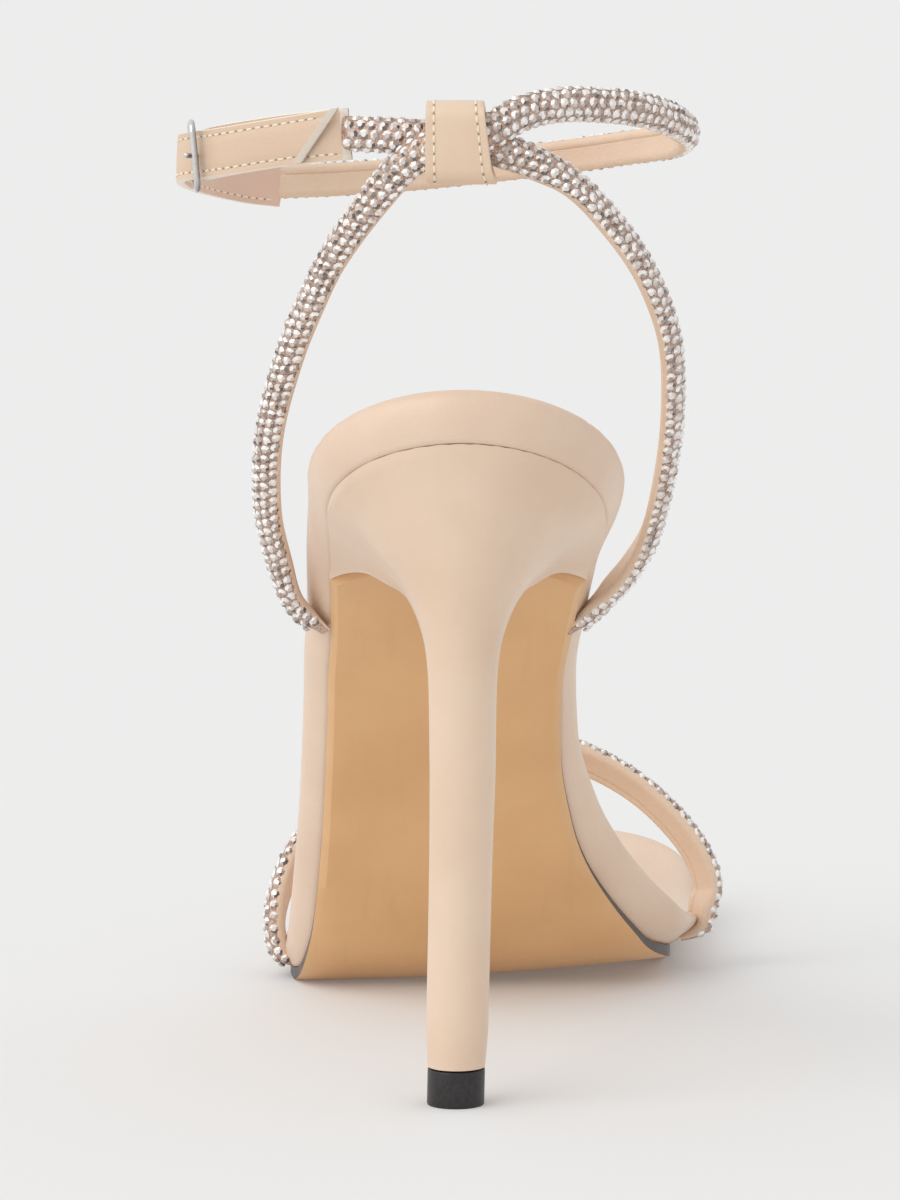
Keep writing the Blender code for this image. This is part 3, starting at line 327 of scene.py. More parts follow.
def faces_between(first, second, count):
    return [(first + i, first + (i + 1) % count, second + (i + 1) % count, second + i)
            for i in range(count)]


def strip_across(start, count, half):
    faces = []
    for i in range(half):
        corners = []
        for corner in (start + i, start + i + 1,
                       start + (count - i - 1) % count, start + (count - i) % count):
            if corner not in corners:
                corners.append(corner)
        faces.append(tuple(corners))
    return faces


def shell_piece(name, vertices, faces, materials, picks=None, angle=50):
    """A closed skin laid over the last: welded, turned outwards, smooth but for its sharp edges."""
    mesh = bpy.data.meshes.new(name)
    mesh.from_pydata([tuple(v + HEEL_TIP) for v in vertices], [], faces)
    for material in materials:
        mesh.materials.append(material)
    if picks:
        mesh.polygons.foreach_set("material_index", picks)
    body = bmesh.new()
    body.from_mesh(mesh)
    bmesh.ops.remove_doubles(body, verts=body.verts, dist=0.005 * MM)
    bmesh.ops.recalc_face_normals(body, faces=body.faces)
    body.to_mesh(mesh)
    body.free()
    mesh.shade_smooth()
    mesh.set_sharp_from_angle(angle=math.radians(angle))
    piece = bpy.data.objects.new(name, mesh)
    SHOE.objects.link(piece)
    return piece


def new_finish(name):
    """A material with its nodes, links and shader, ready to be wired."""
    material = bpy.data.materials.new(name)
    material.use_nodes = True
    tree = material.node_tree
    return material, tree.nodes, tree.links, tree.nodes["Principled BSDF"]


def noise(nodes, links, place, scale, detail):
    node = nodes.new("ShaderNodeTexNoise")
    node.inputs["Scale"].default_value = scale
    node.inputs["Detail"].default_value = detail
    links.new(place, node.inputs["Vector"])
    return node


def relief(nodes, links, height, strength, distance, shader):
    """Fine relief on the surface, from a height that is 0 to about 1."""
    bump = nodes.new("ShaderNodeBump")
    bump.inputs["Strength"].default_value = strength
    bump.inputs["Distance"].default_value = distance
    links.new(height, bump.inputs["Height"])
    links.new(bump.outputs["Normal"], shader.inputs["Normal"])


def leather_group():
    """Calf leather: fine pores, a slow drift of tone, and the shine that goes with both."""
    group = bpy.data.node_groups.new("calf_leather", "ShaderNodeTree")
    face = group.interface
    for name, kind in (("Light Tone", "Color"), ("Deep Tone", "Color"),
                       ("Pore Scale", "Float"), ("Shine", "Float")):
        face.new_socket(name, in_out="INPUT", socket_type="NodeSocket" + kind)
    for name, kind in (("Color", "Color"), ("Roughness", "Float"), ("Height", "Float")):
        face.new_socket(name, in_out="OUTPUT", socket_type="NodeSocket" + kind)
    nodes, links = group.nodes, group.links
    enter = nodes.new("NodeGroupInput")
    leave = nodes.new("NodeGroupOutput")
    place = nodes.new("ShaderNodeTexCoord")
    drift = noise(nodes, links, place.outputs["Object"], 42, 4)
    pores = nodes.new("ShaderNodeTexVoronoi")
    pores.feature = "F1"
    links.new(place.outputs["Object"], pores.inputs["Vector"])
    links.new(enter.outputs["Pore Scale"], pores.inputs["Scale"])
    fibre = noise(nodes, links, place.outputs["Object"], 900, 3)
    spread = nodes.new("ShaderNodeMapRange")
    spread.inputs["From Min"].default_value = 0.36
    spread.inputs["From Max"].default_value = 0.66
    links.new(drift.outputs["Fac"], spread.inputs["Value"])
    tone = nodes.new("ShaderNodeMix")
    tone.data_type = "RGBA"
    links.new(spread.outputs["Result"], tone.inputs["Factor"])
    links.new(enter.outputs["Light Tone"], tone.inputs["A"])
    links.new(enter.outputs["Deep Tone"], tone.inputs["B"])
    links.new(tone.outputs["Result"], leave.inputs["Color"])
    dull = nodes.new("ShaderNodeMath")
    dull.operation = "MULTIPLY_ADD"
    dull.inputs[1].default_value = 0.16
    links.new(fibre.outputs["Fac"], dull.inputs[0])
    links.new(enter.outputs["Shine"], dull.inputs[2])
    links.new(dull.outputs["Value"], leave.inputs["Roughness"])
    grain = nodes.new("ShaderNodeMath")
    grain.operation = "MULTIPLY_ADD"
    grain.inputs[1].default_value = 0.35
    links.new(fibre.outputs["Fac"], grain.inputs[0])
    links.new(pores.outputs["Distance"], grain.inputs[2])
    pull = noise(nodes, links, place.outputs["Object"], 330, 2)
    uneven = nodes.new("ShaderNodeMath")
    uneven.operation = "MULTIPLY_ADD"
    uneven.inputs[1].default_value = 1.6
    links.new(pull.outputs["Fac"], uneven.inputs[0])
    links.new(grain.outputs["Value"], uneven.inputs[2])
    links.new(uneven.outputs["Value"], leave.inputs["Height"])
    return group


CALF = leather_group()


def calf_finish(name, light, deep, shine, pores, depth, coat=0.0):
    """One leather of the shoe, with its own tones, shine and grain."""
    material, nodes, links, shader = new_finish(name)
    calf = nodes.new("ShaderNodeGroup")
    calf.node_tree = CALF
    calf.inputs["Light Tone"].default_value = (*light, 1)
    calf.inputs["Deep Tone"].default_value = (*deep, 1)
    calf.inputs["Pore Scale"].default_value = pores
    calf.inputs["Shine"].default_value = shine
    relief(nodes, links, calf.outputs["Height"], 0.6, depth, shader)
    links.new(calf.outputs["Color"], shader.inputs["Base Color"])
    links.new(calf.outputs["Roughness"], shader.inputs["Roughness"])
    shader.inputs["Coat Weight"].default_value = coat
    shader.inputs["Coat Roughness"].default_value = 0.25
    shader.inputs["Specular IOR Level"].default_value = 0.45
    return material


nude_calf = calf_finish("nude_calf", (0.81, 0.625, 0.48), (0.755, 0.56, 0.42), 0.34, 1700, 0.06 * MM, 0.22)


def footbed():
    rings = []
    for row in BAND:
        level = row.lift + row.roll / (12 * MM)
        rings.append(bed_ring(row.tuck, row.lift, row.roll, 0.0, dents_at(level)))
    rim = rings[-1]
    for share in (0.97, 0.93, 0.88, 0.80, 0.70, 0.58, 0.45, 0.30, 0.15):
        depth = 0.9 * (1 - share) * (1.9 - 0.9 * (1 - share))
        rings.append(inner_ring(rim, share, lambda y: min(depth, 0.95) * seat_dish(y)))
    count = len(rim)
    half = len(STATIONS) - 1
    vertices = [point for ring in rings for point in ring]
    faces = []
    for i in range(len(rings) - 1):
        faces += faces_between(i * count, (i + 1) * count, count)
    faces += strip_across((len(rings) - 1) * count, count, half)
    faces += underside(vertices, count, half)
    piece = shell_piece("footbed", vertices, faces, [nude_calf])
    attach(piece, "root")
    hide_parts("insole")
    return piece


def underside(vertices, count, half):
    """Closes the bottom ring with rows of points that lie on the bed, from side to side."""
    steps = 10
    rows = []
    for i in range(half + 1):
        left, right = i, (count - i) % count
        row = [left]
        for step in range(1, steps if left != right else 1):
            place = vertices[left].lerp(vertices[right], step / steps)
            place.z = bed_height(place.y, place.x)
            row.append(len(vertices))
            vertices.append(place)
        rows.append(row + [right] * (left != right))
    faces = []
    for near, far in zip(rows, rows[1:]):
        for k in range(steps):
            corners = []
            for corner in (near[min(k, len(near) - 1)], near[min(k + 1, len(near) - 1)],
                           far[min(k + 1, len(far) - 1)], far[min(k, len(far) - 1)]):
                if corner not in corners:
                    corners.append(corner)
            faces.append(tuple(corners))
    return faces


footbed()


# Outsole
# The sole under the footbed: one sheet of tan sole leather, burnished on the bottom, with a
# dark dressed edge, made darker still as painted shade for the shadow along the sole's edge.
# It runs from the toe up under the arch to the breast of the heel.

BREAST_CORNER = 38.5 * MM
BREAST_HOLLOW = 8 * MM
SOLE_COLUMNS = 25
CHAMFER_START = 0.94

# The edge is sanded thin under the arch, and grows to its full thickness at the ball.
EDGE_LEFT = 0.42
EDGE_THIN = 0.47
EDGE_FULL = 0.60


def sole_finish():
    """Burnished tan leather with slow clouds of tone and faint rubbed marks along the shoe."""
    material, nodes, links, shader = new_finish("tan_sole_leather")
    place = nodes.new("ShaderNodeTexCoord")
    calf = nodes.new("ShaderNodeGroup")
    calf.node_tree = CALF
    calf.inputs["Light Tone"].default_value = (0.76, 0.445, 0.20, 1)
    calf.inputs["Deep Tone"].default_value = (0.70, 0.395, 0.17, 1)
    calf.inputs["Pore Scale"].default_value = 3200
    calf.inputs["Shine"].default_value = 0.30
    stretch = nodes.new("ShaderNodeMapping")
    stretch.inputs["Scale"].default_value = (420, 60, 60)
    rubbed = nodes.new("ShaderNodeTexNoise")
    rubbed.inputs["Scale"].default_value = 1.0
    rubbed.inputs["Detail"].default_value = 6
    links.new(place.outputs["Object"], stretch.inputs["Vector"])
    links.new(stretch.outputs["Vector"], rubbed.inputs["Vector"])
    marks = nodes.new("ShaderNodeMapRange")
    marks.inputs["From Min"].default_value = 0.58
    marks.inputs["From Max"].default_value = 0.78
    marks.inputs["To Max"].default_value = 0.2
    links.new(rubbed.outputs["Fac"], marks.inputs["Value"])
    tone = nodes.new("ShaderNodeMix")
    tone.data_type = "RGBA"
    tone.inputs["B"].default_value = (0.58, 0.31, 0.135, 1)
    links.new(marks.outputs["Result"], tone.inputs["Factor"])
    links.new(calf.outputs["Color"], tone.inputs["A"])
    links.new(tone.outputs["Result"], shader.inputs["Base Color"])
    links.new(calf.outputs["Roughness"], shader.inputs["Roughness"])
    relief(nodes, links, calf.outputs["Height"], 0.25, 0.05 * MM, shader)
    shader.inputs["Coat Weight"].default_value = 0.35
    shader.inputs["Coat Roughness"].default_value = 0.22
    return material


tan_sole = sole_finish()
# The edge is near black: its dressing, made darker as painted shade for the shadow along the sole's edge.
dark_edge_and_painted_shade = calf_finish("dressed_edge_painted_shade", (0.115, 0.095, 0.09), (0.07, 0.055, 0.05), 0.36, 1800, 0.04 * MM)


def outsole_half(y, side):
    share = share_along(y)
    column = "tuck_out" if side < 0 else "tuck_in"
    return BED["width"].at(share) / 2 - BED[column].at(share) * WALL_TUCK


def outsole():
    start = BREAST_CORNER + SEAM_GAP
    rows = [start, start + 0.6 * MM] + [y for y in STATIONS if y > start + 1.6 * MM]
    shares = [-1 + 2 * c / (SOLE_COLUMNS - 1) for c in range(SOLE_COLUMNS)]
    shares[1], shares[-2] = -CHAMFER_START, CHAMFER_START
    top, bottom = [], []
    for y in rows:
        grown = min(1.0, max(0.0, (share_along(y) - EDGE_THIN) / (EDGE_FULL - EDGE_THIN)))
        feather = EDGE_LEFT + (1 - EDGE_LEFT) * grown
        hollow = BREAST_HOLLOW * max(0.0, 1 - (y - start) / (2.5 * BREAST_HOLLOW))
        narrow = end_round((TOE_END - y) / TOE_ROUND, TOE_SQUARENESS)
        middle = BED["axis"].at(share_along(y)) * BALL_WIDTH
        right = middle + outsole_half(y, 1) * narrow
        left = middle - outsole_half(y, -1) * narrow
        toe_inset = max(0.0, (y - TOE_END + TOE_ROUND) / TOE_ROUND) * BED["tuck_in"].at(1.0) * WALL_TUCK
        lean = min(1.0, (y - start) / (4 * MM))
        for share in shares:
            own_y = y - hollow * (1 - share * share) - toe_inset
            x = left + (right - left) * (share + 1) / 2
            base = Vector((x, own_y, bed_height(own_y, x)))
            normal = bed_normal(own_y, x)
            top.append(base - normal * SEAM_GAP)
            thick = SEAM_GAP + OUTSOLE_THICKNESS * (feather if abs(share) == 1 else 1)
            square = base - normal * thick
            upright = base - Vector((0, 0, thick / normal.z))
            sheet = upright.lerp(square, lean)
            sheet.z = max(sheet.z, 0.0)
            bottom.append(sheet)
    size = len(top)
    wide = SOLE_COLUMNS
    faces, picks = [], []
    for r in range(len(rows) - 1):
        for c in range(wide - 1):
            a = r * wide + c
            faces.append((a, a + 1, a + wide + 1, a + wide))
            faces.append((size + a, size + a + wide, size + a + wide + 1, size + a + 1))
            picks += [0, 0]
        for c in (0, wide - 1):
            a = r * wide + c
            faces.append((a, a + wide, size + a + wide, size + a))
            picks.append(1)
    for r in (0, len(rows) - 1):
        for c in range(wide - 1):
            a = r * wide + c
            faces.append((a, a + 1, size + a + 1, size + a))
            picks.append(0 if r == 0 else 1)
    piece = shell_piece("sole_leather", top + bottom, faces, [tan_sole, dark_edge_and_painted_shade], picks)
    soften(piece, 0.35 * MM, 2)
    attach(piece, "root")
    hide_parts("outsole")
    return piece


def soften(piece, width, segments, angle=40):
    """Rounds the sharp edges of a piece, as sanding or wear does."""
    bevel = piece.modifiers.new("softened_edge", "BEVEL")
    bevel.width = width
    bevel.segments = segments
    bevel.limit_method = "ANGLE"
    bevel.angle_limit = math.radians(angle)
    bevel.harden_normals = False
    apply_modifiers(piece)


def apply_modifiers(piece):
    bpy.ops.object.select_all(action="DESELECT")
    piece.select_set(True)
    bpy.context.view_layer.objects.active = piece
    for modifier in list(piece.modifiers):
        bpy.ops.object.modifier_apply(modifier=modifier.name)


outsole()


# Heel
# The slender heel: a moulded core wrapped in the same nude calf as the footbed. The leather
# is drawn round from the back, and its two edges meet in a fine seam down the breast side.

HEEL_RIM = 1.0 * MM
CUP_INSET = 0.25 * MM
STEM_CORNER = math.radians(128)
STEM_WIDTH = 11.3 * MM
STEM_DEPTH = 11 * MM
STEM_FRONT = 0.86
STEM_TOP = 57 * MM
LIFT_HEIGHT = 6.4 * MM
HEEL_LEAN = 1.2 * MM
RIM_RAISED = 0.15 * MM
RIM_RAGGED = 0.07 * MM
BREAST_SEAM = 0.18 * MM

FlareRow = namedtuple("FlareRow", "step inward down")
FLARE = [
    FlareRow(0, 0.00, 0.00),
    FlareRow(1, 0.14, 0.05),
    FlareRow(2, 0.32, 0.12),
    FlareRow(3, 0.52, 0.23),
    FlareRow(4, 0.69, 0.32),
    FlareRow(5, 0.82, 0.41),
    FlareRow(6, 0.91, 0.50),
    FlareRow(7, 0.96, 0.58),
    FlareRow(8, 0.99, 0.72),
    FlareRow(9, 1.00, 1.00),
]

StemRow = namedtuple("StemRow", "down width depth")
STEM = [
    StemRow(0.00, 1.00 * STEM_WIDTH, 1.00 * STEM_DEPTH),
    StemRow(0.30, 0.96 * STEM_WIDTH, 0.95 * STEM_DEPTH),
    StemRow(0.62, 0.95 * STEM_WIDTH, 0.94 * STEM_DEPTH),
    StemRow(0.85, 0.95 * STEM_WIDTH, 0.94 * STEM_DEPTH),
    StemRow(1.00, 1.00 * TIP_WIDTH, 1.00 * TIP_DEPTH),
]

heel_calf = calf_finish("heel_calf", (0.80, 0.615, 0.465), (0.75, 0.555, 0.41), 0.33, 2600, 0.04 * MM, 0.2)


def stem_ring(width, depth, height, sides):
    lean = HEEL_LEAN * height / STEM_TOP
    ring = []
    for angle in sides:
        front = STEM_FRONT if math.cos(angle) < 0 else 1.0
        x = lean - width / 2 * math.sin(angle)
        ring.append(Vector((x, -depth / 2 * math.cos(angle) * front, height)))
    return ring


def on_bed(x, y):
    return Vector((x, y, bed_height(y))) - bed_normal(y) * SEAM_GAP


def breast_line(share):
    return BREAST_CORNER - BREAST_HOLLOW * (1 - share * share)


def seat_edge(side):
    edge = bed_ring(1.0, 0.0, CUP_INSET, -SEAM_GAP)
    count = len(edge)
    last = max(i for i in range(len(STATIONS)) if edge[i].y < BREAST_CORNER - 0.8 * MM)
    points = [edge[i if side < 0 else (count - i) % count] for i in range(last + 1)]
    x = BED["axis"].at(share_along(BREAST_CORNER)) * BALL_WIDTH + side * outsole_half(BREAST_CORNER, side)
    return points + [on_bed(x, BREAST_CORNER)]


def heel():
    outer = seat_edge(-1)
    inner = seat_edge(1)
    breast = []
    steps = 22
    for k in range(1, steps):
        share = -1 + 2 * k / steps
        x = outer[-1].x + (inner[-1].x - outer[-1].x) * k / steps
        breast.append(on_bed(x, breast_line(share)))
    for side_edge in (outer, inner[1:]):
        for place in side_edge:
            ragged = RIM_RAGGED * math.sin(place.x * 1900 + place.y * 700)
            place += bed_normal(place.y) * (RIM_RAISED + ragged)
    rim = outer + breast + list(reversed(inner[1:]))
    side_count = len(outer)
    angles = [STEM_CORNER * i / (side_count - 1) for i in range(side_count)]
    front = 2 * math.pi - 2 * STEM_CORNER
    angles += [STEM_CORNER + front * (i + 1) / (len(breast) + 1) for i in range(len(breast))]
    angles += [2 * math.pi - angle for angle in reversed(angles[1:side_count])]
    flare = columns(FLARE, "step")
    stem_top = stem_ring(STEM_WIDTH, STEM_DEPTH, STEM_TOP, angles)
    rings = [rim]
    for k in range(37):
        step = k / 4
        ring = []
        for start, end in zip(rim, stem_top):
            place = start.lerp(end, flare["inward"].at(step))
            below = bed_height(place.y) - (SEAM_GAP + HEEL_RIM) / bed_normal(place.y).z
            place.z = below + (end.z - below) * flare["down"].at(step)
            ring.append(place)
        rings.append(ring)
    stem = columns(STEM, "down")
    foot = LIFT_HEIGHT + SEAM_GAP
    for k in range(1, 17):
        down = k / 16
        height = STEM_TOP + (foot - STEM_TOP) * down
        rings.append(stem_ring(stem["width"].at(down), stem["depth"].at(down), height, angles))
    seam = side_count - 1 + (len(breast) + 1) // 2
    for ring in rings[2:]:
        inward = Vector((0, -1, 0))
        ring[seam] = ring[seam] + inward * BREAST_SEAM
    count = len(rim)
    vertices = [point for ring in rings for point in ring]
    faces = []
    for i in range(len(rings) - 1):
        faces += faces_between(i * count, (i + 1) * count, count)
    faces.append(tuple((len(rings) - 1) * count + i for i in range(count)))
    straight = max(i for i in range(len(outer)) if outer[i].y < breast_line(0) - 2 * MM)
    faces += strip_across(0, count, straight)
    faces.append(tuple(range(straight, count - straight + 1)))
    piece = shell_piece("covered_heel", vertices, faces, [heel_calf], angle=42)
    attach(piece, "root")
    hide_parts("heel")
    return piece


heel()


# Top lift
# The small black tip nailed under the heel: moulded rubber, faintly speckled in its tone
# and its shine.

def lift_finish():
    material, nodes, links, shader = new_finish("black_lift")
    place = nodes.new("ShaderNodeTexCoord")
    specks = noise(nodes, links, place.outputs["Object"], 1400, 5)
    tone = nodes.new("ShaderNodeValToRGB")
    tone.color_ramp.elements[0].position = 0.35
    tone.color_ramp.elements[0].color = (0.012, 0.010, 0.011, 1)
    tone.color_ramp.elements[1].position = 0.75
    tone.color_ramp.elements[1].color = (0.030, 0.025, 0.026, 1)
    links.new(specks.outputs["Fac"], tone.inputs["Fac"])
    links.new(tone.outputs["Color"], shader.inputs["Base Color"])
    dull = nodes.new("ShaderNodeMapRange")
    dull.inputs["To Min"].default_value = 0.32
    dull.inputs["To Max"].default_value = 0.5
    links.new(specks.outputs["Fac"], dull.inputs["Value"])
    links.new(dull.outputs["Result"], shader.inputs["Roughness"])
    relief(nodes, links, specks.outputs["Fac"], 0.2, 0.04 * MM, shader)
    return material


def top_lift():
    bpy.ops.object.select_all(action="DESELECT")
    bpy.ops.mesh.primitive_cylinder_add(vertices=72, radius=0.5, depth=LIFT_HEIGHT, location=(0, 0, 0))
    piece = bpy.context.object
    piece.name = "rubber_lift"
    for vertex in piece.data.vertices:
        depth = TIP_DEPTH * (STEM_FRONT if vertex.co.y > 0 else 1.0)
        height = vertex.co.z + LIFT_HEIGHT / 2
        lean = HEEL_LEAN * height / STEM_TOP
        vertex.co = HEEL_TIP + Vector((vertex.co.x * TIP_WIDTH + lean, vertex.co.y * depth, height))
    piece.data.materials.append(lift_finish())
    soften(piece, 0.3 * MM, 3)
    piece.data.shade_smooth()
    piece.data.set_sharp_from_angle(angle=math.radians(40))
    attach(piece, "root")
    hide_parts("top_lift")
    return piece


top_lift()


# Ankle straps
# Two padded straps, each a flat nude lining with a round dome covered in rosy metallic mesh
# and rows of small foiled stones. They come out from under the footbed at the waist, cross
# behind the ankle, and run round it to the buckle on the outer side.

STRAP_WIDTH = 6.4 * MM
STRAP_THICKNESS = 3.9 * MM
LOOP_WIDTH = 89 * MM
LOOP_DEPTH = 62 * MM
KEEPER_RISE = 91 * MM
STRAP_TUCK = 52 * MM
STONE_PITCH = 2.0 * MM
STONE_RADIUS = 0.93 * MM
STONE_TABLE = 0.46
STONE_SUNK = 0.19 * MM
STONE_ROWS = 5

Stop = namedtuple("Stop", "across along up face")

OUTER_STRAP = [
    Stop(-0.360, 0.734, 0.138, (-0.80, -0.58, 0.00)),
    Stop(-0.381, 0.629, 0.255, (-0.76, -0.64, 0.05)),
    Stop(-0.373, 0.492, 0.414, (-0.73, -0.67, 0.08)),
    Stop(-0.329, 0.347, 0.575, (-0.70, -0.70, 0.14)),
    Stop(-0.283, 0.250, 0.687, (-0.67, -0.71, 0.22)),
    Stop(-0.233, 0.153, 0.784, (-0.66, -0.70, 0.28)),
    Stop(-0.145, 0.035, 0.905, (-0.40, -0.88, 0.24)),
    Stop(-0.073, -0.016, 0.976, (-0.15, -0.98, 0.10)),
    Stop(0.000, -0.021, 1.000, (0.02, -1.00, 0.05)),
    Stop(0.061, -0.003, 1.017, (0.12, -0.98, 0.15)),
    Stop(0.126, 0.058, 1.051, (0.28, -0.94, 0.22)),
    Stop(0.203, 0.135, 1.063, (0.42, -0.88, 0.22)),
    Stop(0.281, 0.216, 1.058, (0.58, -0.79, 0.20)),
    Stop(0.356, 0.316, 1.044, (0.74, -0.65, 0.16)),
    Stop(0.415, 0.435, 1.020, (0.92, -0.38, 0.10)),
    Stop(0.446, 0.581, 0.989, (0.99, 0.08, 0.05)),
    Stop(0.420, 0.726, 0.964, (0.85, 0.52, 0.04)),
    Stop(0.340, 0.852, 0.945, (0.58, 0.81, 0.04)),
    Stop(0.219, 0.945, 0.923, (0.32, 0.95, 0.04)),
    Stop(0.056, 0.992, 0.901, (0.06, 1.00, 0.04)),
    Stop(-0.112, 0.973, 0.885, (-0.20, 0.98, 0.04)),
    Stop(-0.247, 0.910, 0.879, (-0.42, 0.91, 0.04)),
    Stop(-0.348, 0.832, 0.879, (-0.54, 0.84, 0.04)),
]

INNER_STRAP = [
    Stop(0.337, 0.747, 0.129, (0.92, -0.02, -0.02)),
    Stop(0.375, 0.677, 0.205, (0.91, -0.16, 0.00)),
    Stop(0.410, 0.529, 0.370, (0.88, -0.26, 0.04)),
    Stop(0.419, 0.403, 0.514, (0.87, -0.30, 0.12)),
    Stop(0.407, 0.311, 0.628, (0.86, -0.28, 0.27)),
    Stop(0.361, 0.219, 0.746, (0.80, -0.30, 0.46)),
    Stop(0.299, 0.148, 0.839, (0.66, -0.42, 0.60)),
    Stop(0.224, 0.090, 0.918, (0.42, -0.50, 0.76)),
    Stop(0.147, 0.052, 0.961, (0.18, -0.84, 0.50)),
    Stop(0.073, 0.026, 0.987, (0.04, -0.98, 0.20)),
    Stop(0.000, 0.018, 1.002, (0.00, -1.00, 0.05)),
    Stop(-0.067, 0.031, 1.007, (-0.10, -0.99, 0.05)),
    Stop(-0.130, 0.045, 1.009, (-0.17, -0.98, 0.05)),
    Stop(-0.193, 0.068, 1.011, (-0.26, -0.96, 0.05)),
]


def loop_place(across, along, up):
    return Vector((across * LOOP_WIDTH, along * LOOP_DEPTH, bed_height(STRAP_TUCK) + up * KEEPER_RISE))


def route(stops, place):
    return [(place(stop.across, stop.along, stop.up), Vector(stop.face)) for stop in stops]


def tucked_end(y, side, thickness, stand_off, reach, lean, turn, lift=0.0):
    """The end of a strap: out from under the band of the footbed and up beside it."""
    edge = edge_point(y, side)
    wall = BED["wall"].at(share_along(y))
    base = bed_height(y, edge.x) + lift * wall
    under = Vector((edge.x - side * 0.85 * thickness, y, base))
    curve = Vector((edge.x + side * 0.12 * thickness, y - 0.3 * lean * wall, base + 0.38 * wall))
    beside = Vector((edge.x + side * stand_off * thickness, y - lean * wall, base + reach * wall))
    return [
        (under, Vector((side * 0.78, 0.5 * turn, -0.60))),
        (curve, Vector((side * 0.92, 0.8 * turn, -0.30))),
        (beside, Vector((side * 0.90, turn, 0.0))),
    ]


def swinging_curve(places, values):
    slopes = []
    for i in range(len(places)):
        a, b = max(i - 1, 0), min(i + 1, len(places) - 1)
        slopes.append((values[b] - values[a]) / (places[b] - places[a]))
    return Curve(places, values, slopes)


Frame = namedtuple("Frame", "point along out across run")


def strap_frames(stops, spacing):
    """Places along a strap, each with the strap's own directions and the length run so far."""
    reach = [0.0]
    for (a, _), (b, _) in zip(stops, stops[1:]):
        reach.append(reach[-1] + (b - a).length)
    tracks = [swinging_curve(reach, [place[k] for place, face in stops]) for k in range(3)]
    turns = [swinging_curve(reach, [face[k] for place, face in stops]) for k in range(3)]
    fine = max(2, int(reach[-1] / (0.25 * MM)))
    points = [Vector([track.at(reach[-1] * i / fine) for track in tracks]) for i in range(fine + 1)]
    runs = [0.0]
    for a, b in zip(points, points[1:]):
        runs.append(runs[-1] + (b - a).length)
    count = max(2, round(runs[-1] / spacing))
    frames = []
    i = 0
    for n in range(count + 1):
        run = runs[-1] * n / count
        while i < fine - 1 and runs[i + 1] < run:
            i += 1
        t = (run - runs[i]) / max(runs[i + 1] - runs[i], 1e-9)
        point = points[i].lerp(points[i + 1], t)
        along = (points[min(i + 2, fine)] - points[max(i - 1, 0)]).normalized()
        face = Vector([turn.at(reach[-1] * (i + t) / fine) for turn in turns])
        out = (face - along * face.dot(along)).normalized()
        frames.append(Frame(point, along, out, along.cross(out), run))
    return frames


def dome_of(width, thickness):
    """Half width, foot and rise of the padded dome, under the stones that stand on it."""
    return width / 2 - 0.40 * MM, -0.08 * thickness, 0.66 * thickness - 0.42 * MM


# Flat lining from edge to edge, as a share of its half width and the fold's height in mm.
LINING_ROWS = [(1, 0), (0.66, 0), (0.33, 0), (0, 0), (-0.33, 0), (-0.52, 0),
               (-0.60, 0.22), (-0.68, 0), (-1, 0)]


def padded_profile(width, thickness):
    """Cut through a padded strap, over the dome and back along the lining, as
    (across, out, is it lining)."""
    flat = -0.42 * thickness
    half, foot, rise = dome_of(width, thickness)
    side = (0.455 * width, flat + 0.14 * thickness)
    points = [(-side[0], side[1], True), (-half - 0.15 * MM, foot - 0.05 * MM, True)]
    arc = 20
    for i in range(arc + 1):
        angle = math.pi * (1 - i / arc)
        points.append((half * math.cos(angle), foot + rise * math.sin(angle), False))
    points += [(half + 0.15 * MM, foot - 0.05 * MM, True), (side[0], side[1], True)]
    for share, fold in LINING_ROWS:
        sag = 0.04 * thickness * (1 - share * share) + fold * MM
        points.append((share * 0.36 * width, flat + sag, True))
    return points


def swept_piece(name, frames, profile, materials, thin=lambda run, end: 1.0, angle=50):
    """A strap: its profile carried along its frames. thin gives the share of thickness."""
    vertices, faces, picks = [], [], []
    count = len(profile)
    end_run = frames[-1].run
    for frame_at in frames:
        share = thin(frame_at.run, end_run)
        for side, rise, lining in profile:
            vertices.append(frame_at.point + frame_at.across * side + frame_at.out * rise * share)
    for i in range(len(frames) - 1):
        faces += faces_between(i * count, (i + 1) * count, count)
        picks += [1 if profile[k][2] and profile[(k + 1) % count][2] else 0 for k in range(count)]
    faces.append(tuple(range(count)))
    faces.append(tuple((len(frames) - 1) * count + i for i in range(count)))
    picks += [len(materials) - 1] * 2
    return shell_piece(name, vertices, faces, materials, picks, angle)


def mesh_ground_finish():
    """Rosy metallic mesh that the stones are set in: a fine knit seen between them, painted darker where
    its cells dip, as painted shade.
    """
    material, nodes, links, shader = new_finish("rosy_metal_mesh_painted_shade")
    place = nodes.new("ShaderNodeTexCoord")
    knit = nodes.new("ShaderNodeTexVoronoi")
    knit.inputs["Scale"].default_value = 2300
    links.new(place.outputs["Object"], knit.inputs["Vector"])
    # Light in the middle of each cell and dark at its edges, where the knit dips: painted shade.
    tone = nodes.new("ShaderNodeValToRGB")
    tone.color_ramp.elements[0].position = 0.15
    tone.color_ramp.elements[0].color = (0.74, 0.54, 0.43, 1)
    tone.color_ramp.elements[1].position = 0.65
    tone.color_ramp.elements[1].color = (0.44, 0.29, 0.22, 1)
    links.new(knit.outputs["Distance"], tone.inputs["Fac"])
    links.new(tone.outputs["Color"], shader.inputs["Base Color"])
    shader.inputs["Metallic"].default_value = 0.45
    shine = nodes.new("ShaderNodeMapRange")
    shine.inputs["To Min"].default_value = 0.35
    shine.inputs["To Max"].default_value = 0.6
    links.new(knit.outputs["Distance"], shine.inputs["Value"])
    links.new(shine.outputs["Result"], shader.inputs["Roughness"])
    bump = nodes.new("ShaderNodeBump")
    bump.invert = True
    bump.inputs["Strength"].default_value = 0.6
    bump.inputs["Distance"].default_value = 0.1 * MM
    links.new(knit.outputs["Distance"], bump.inputs["Height"])
    links.new(bump.outputs["Normal"], shader.inputs["Normal"])
    return material


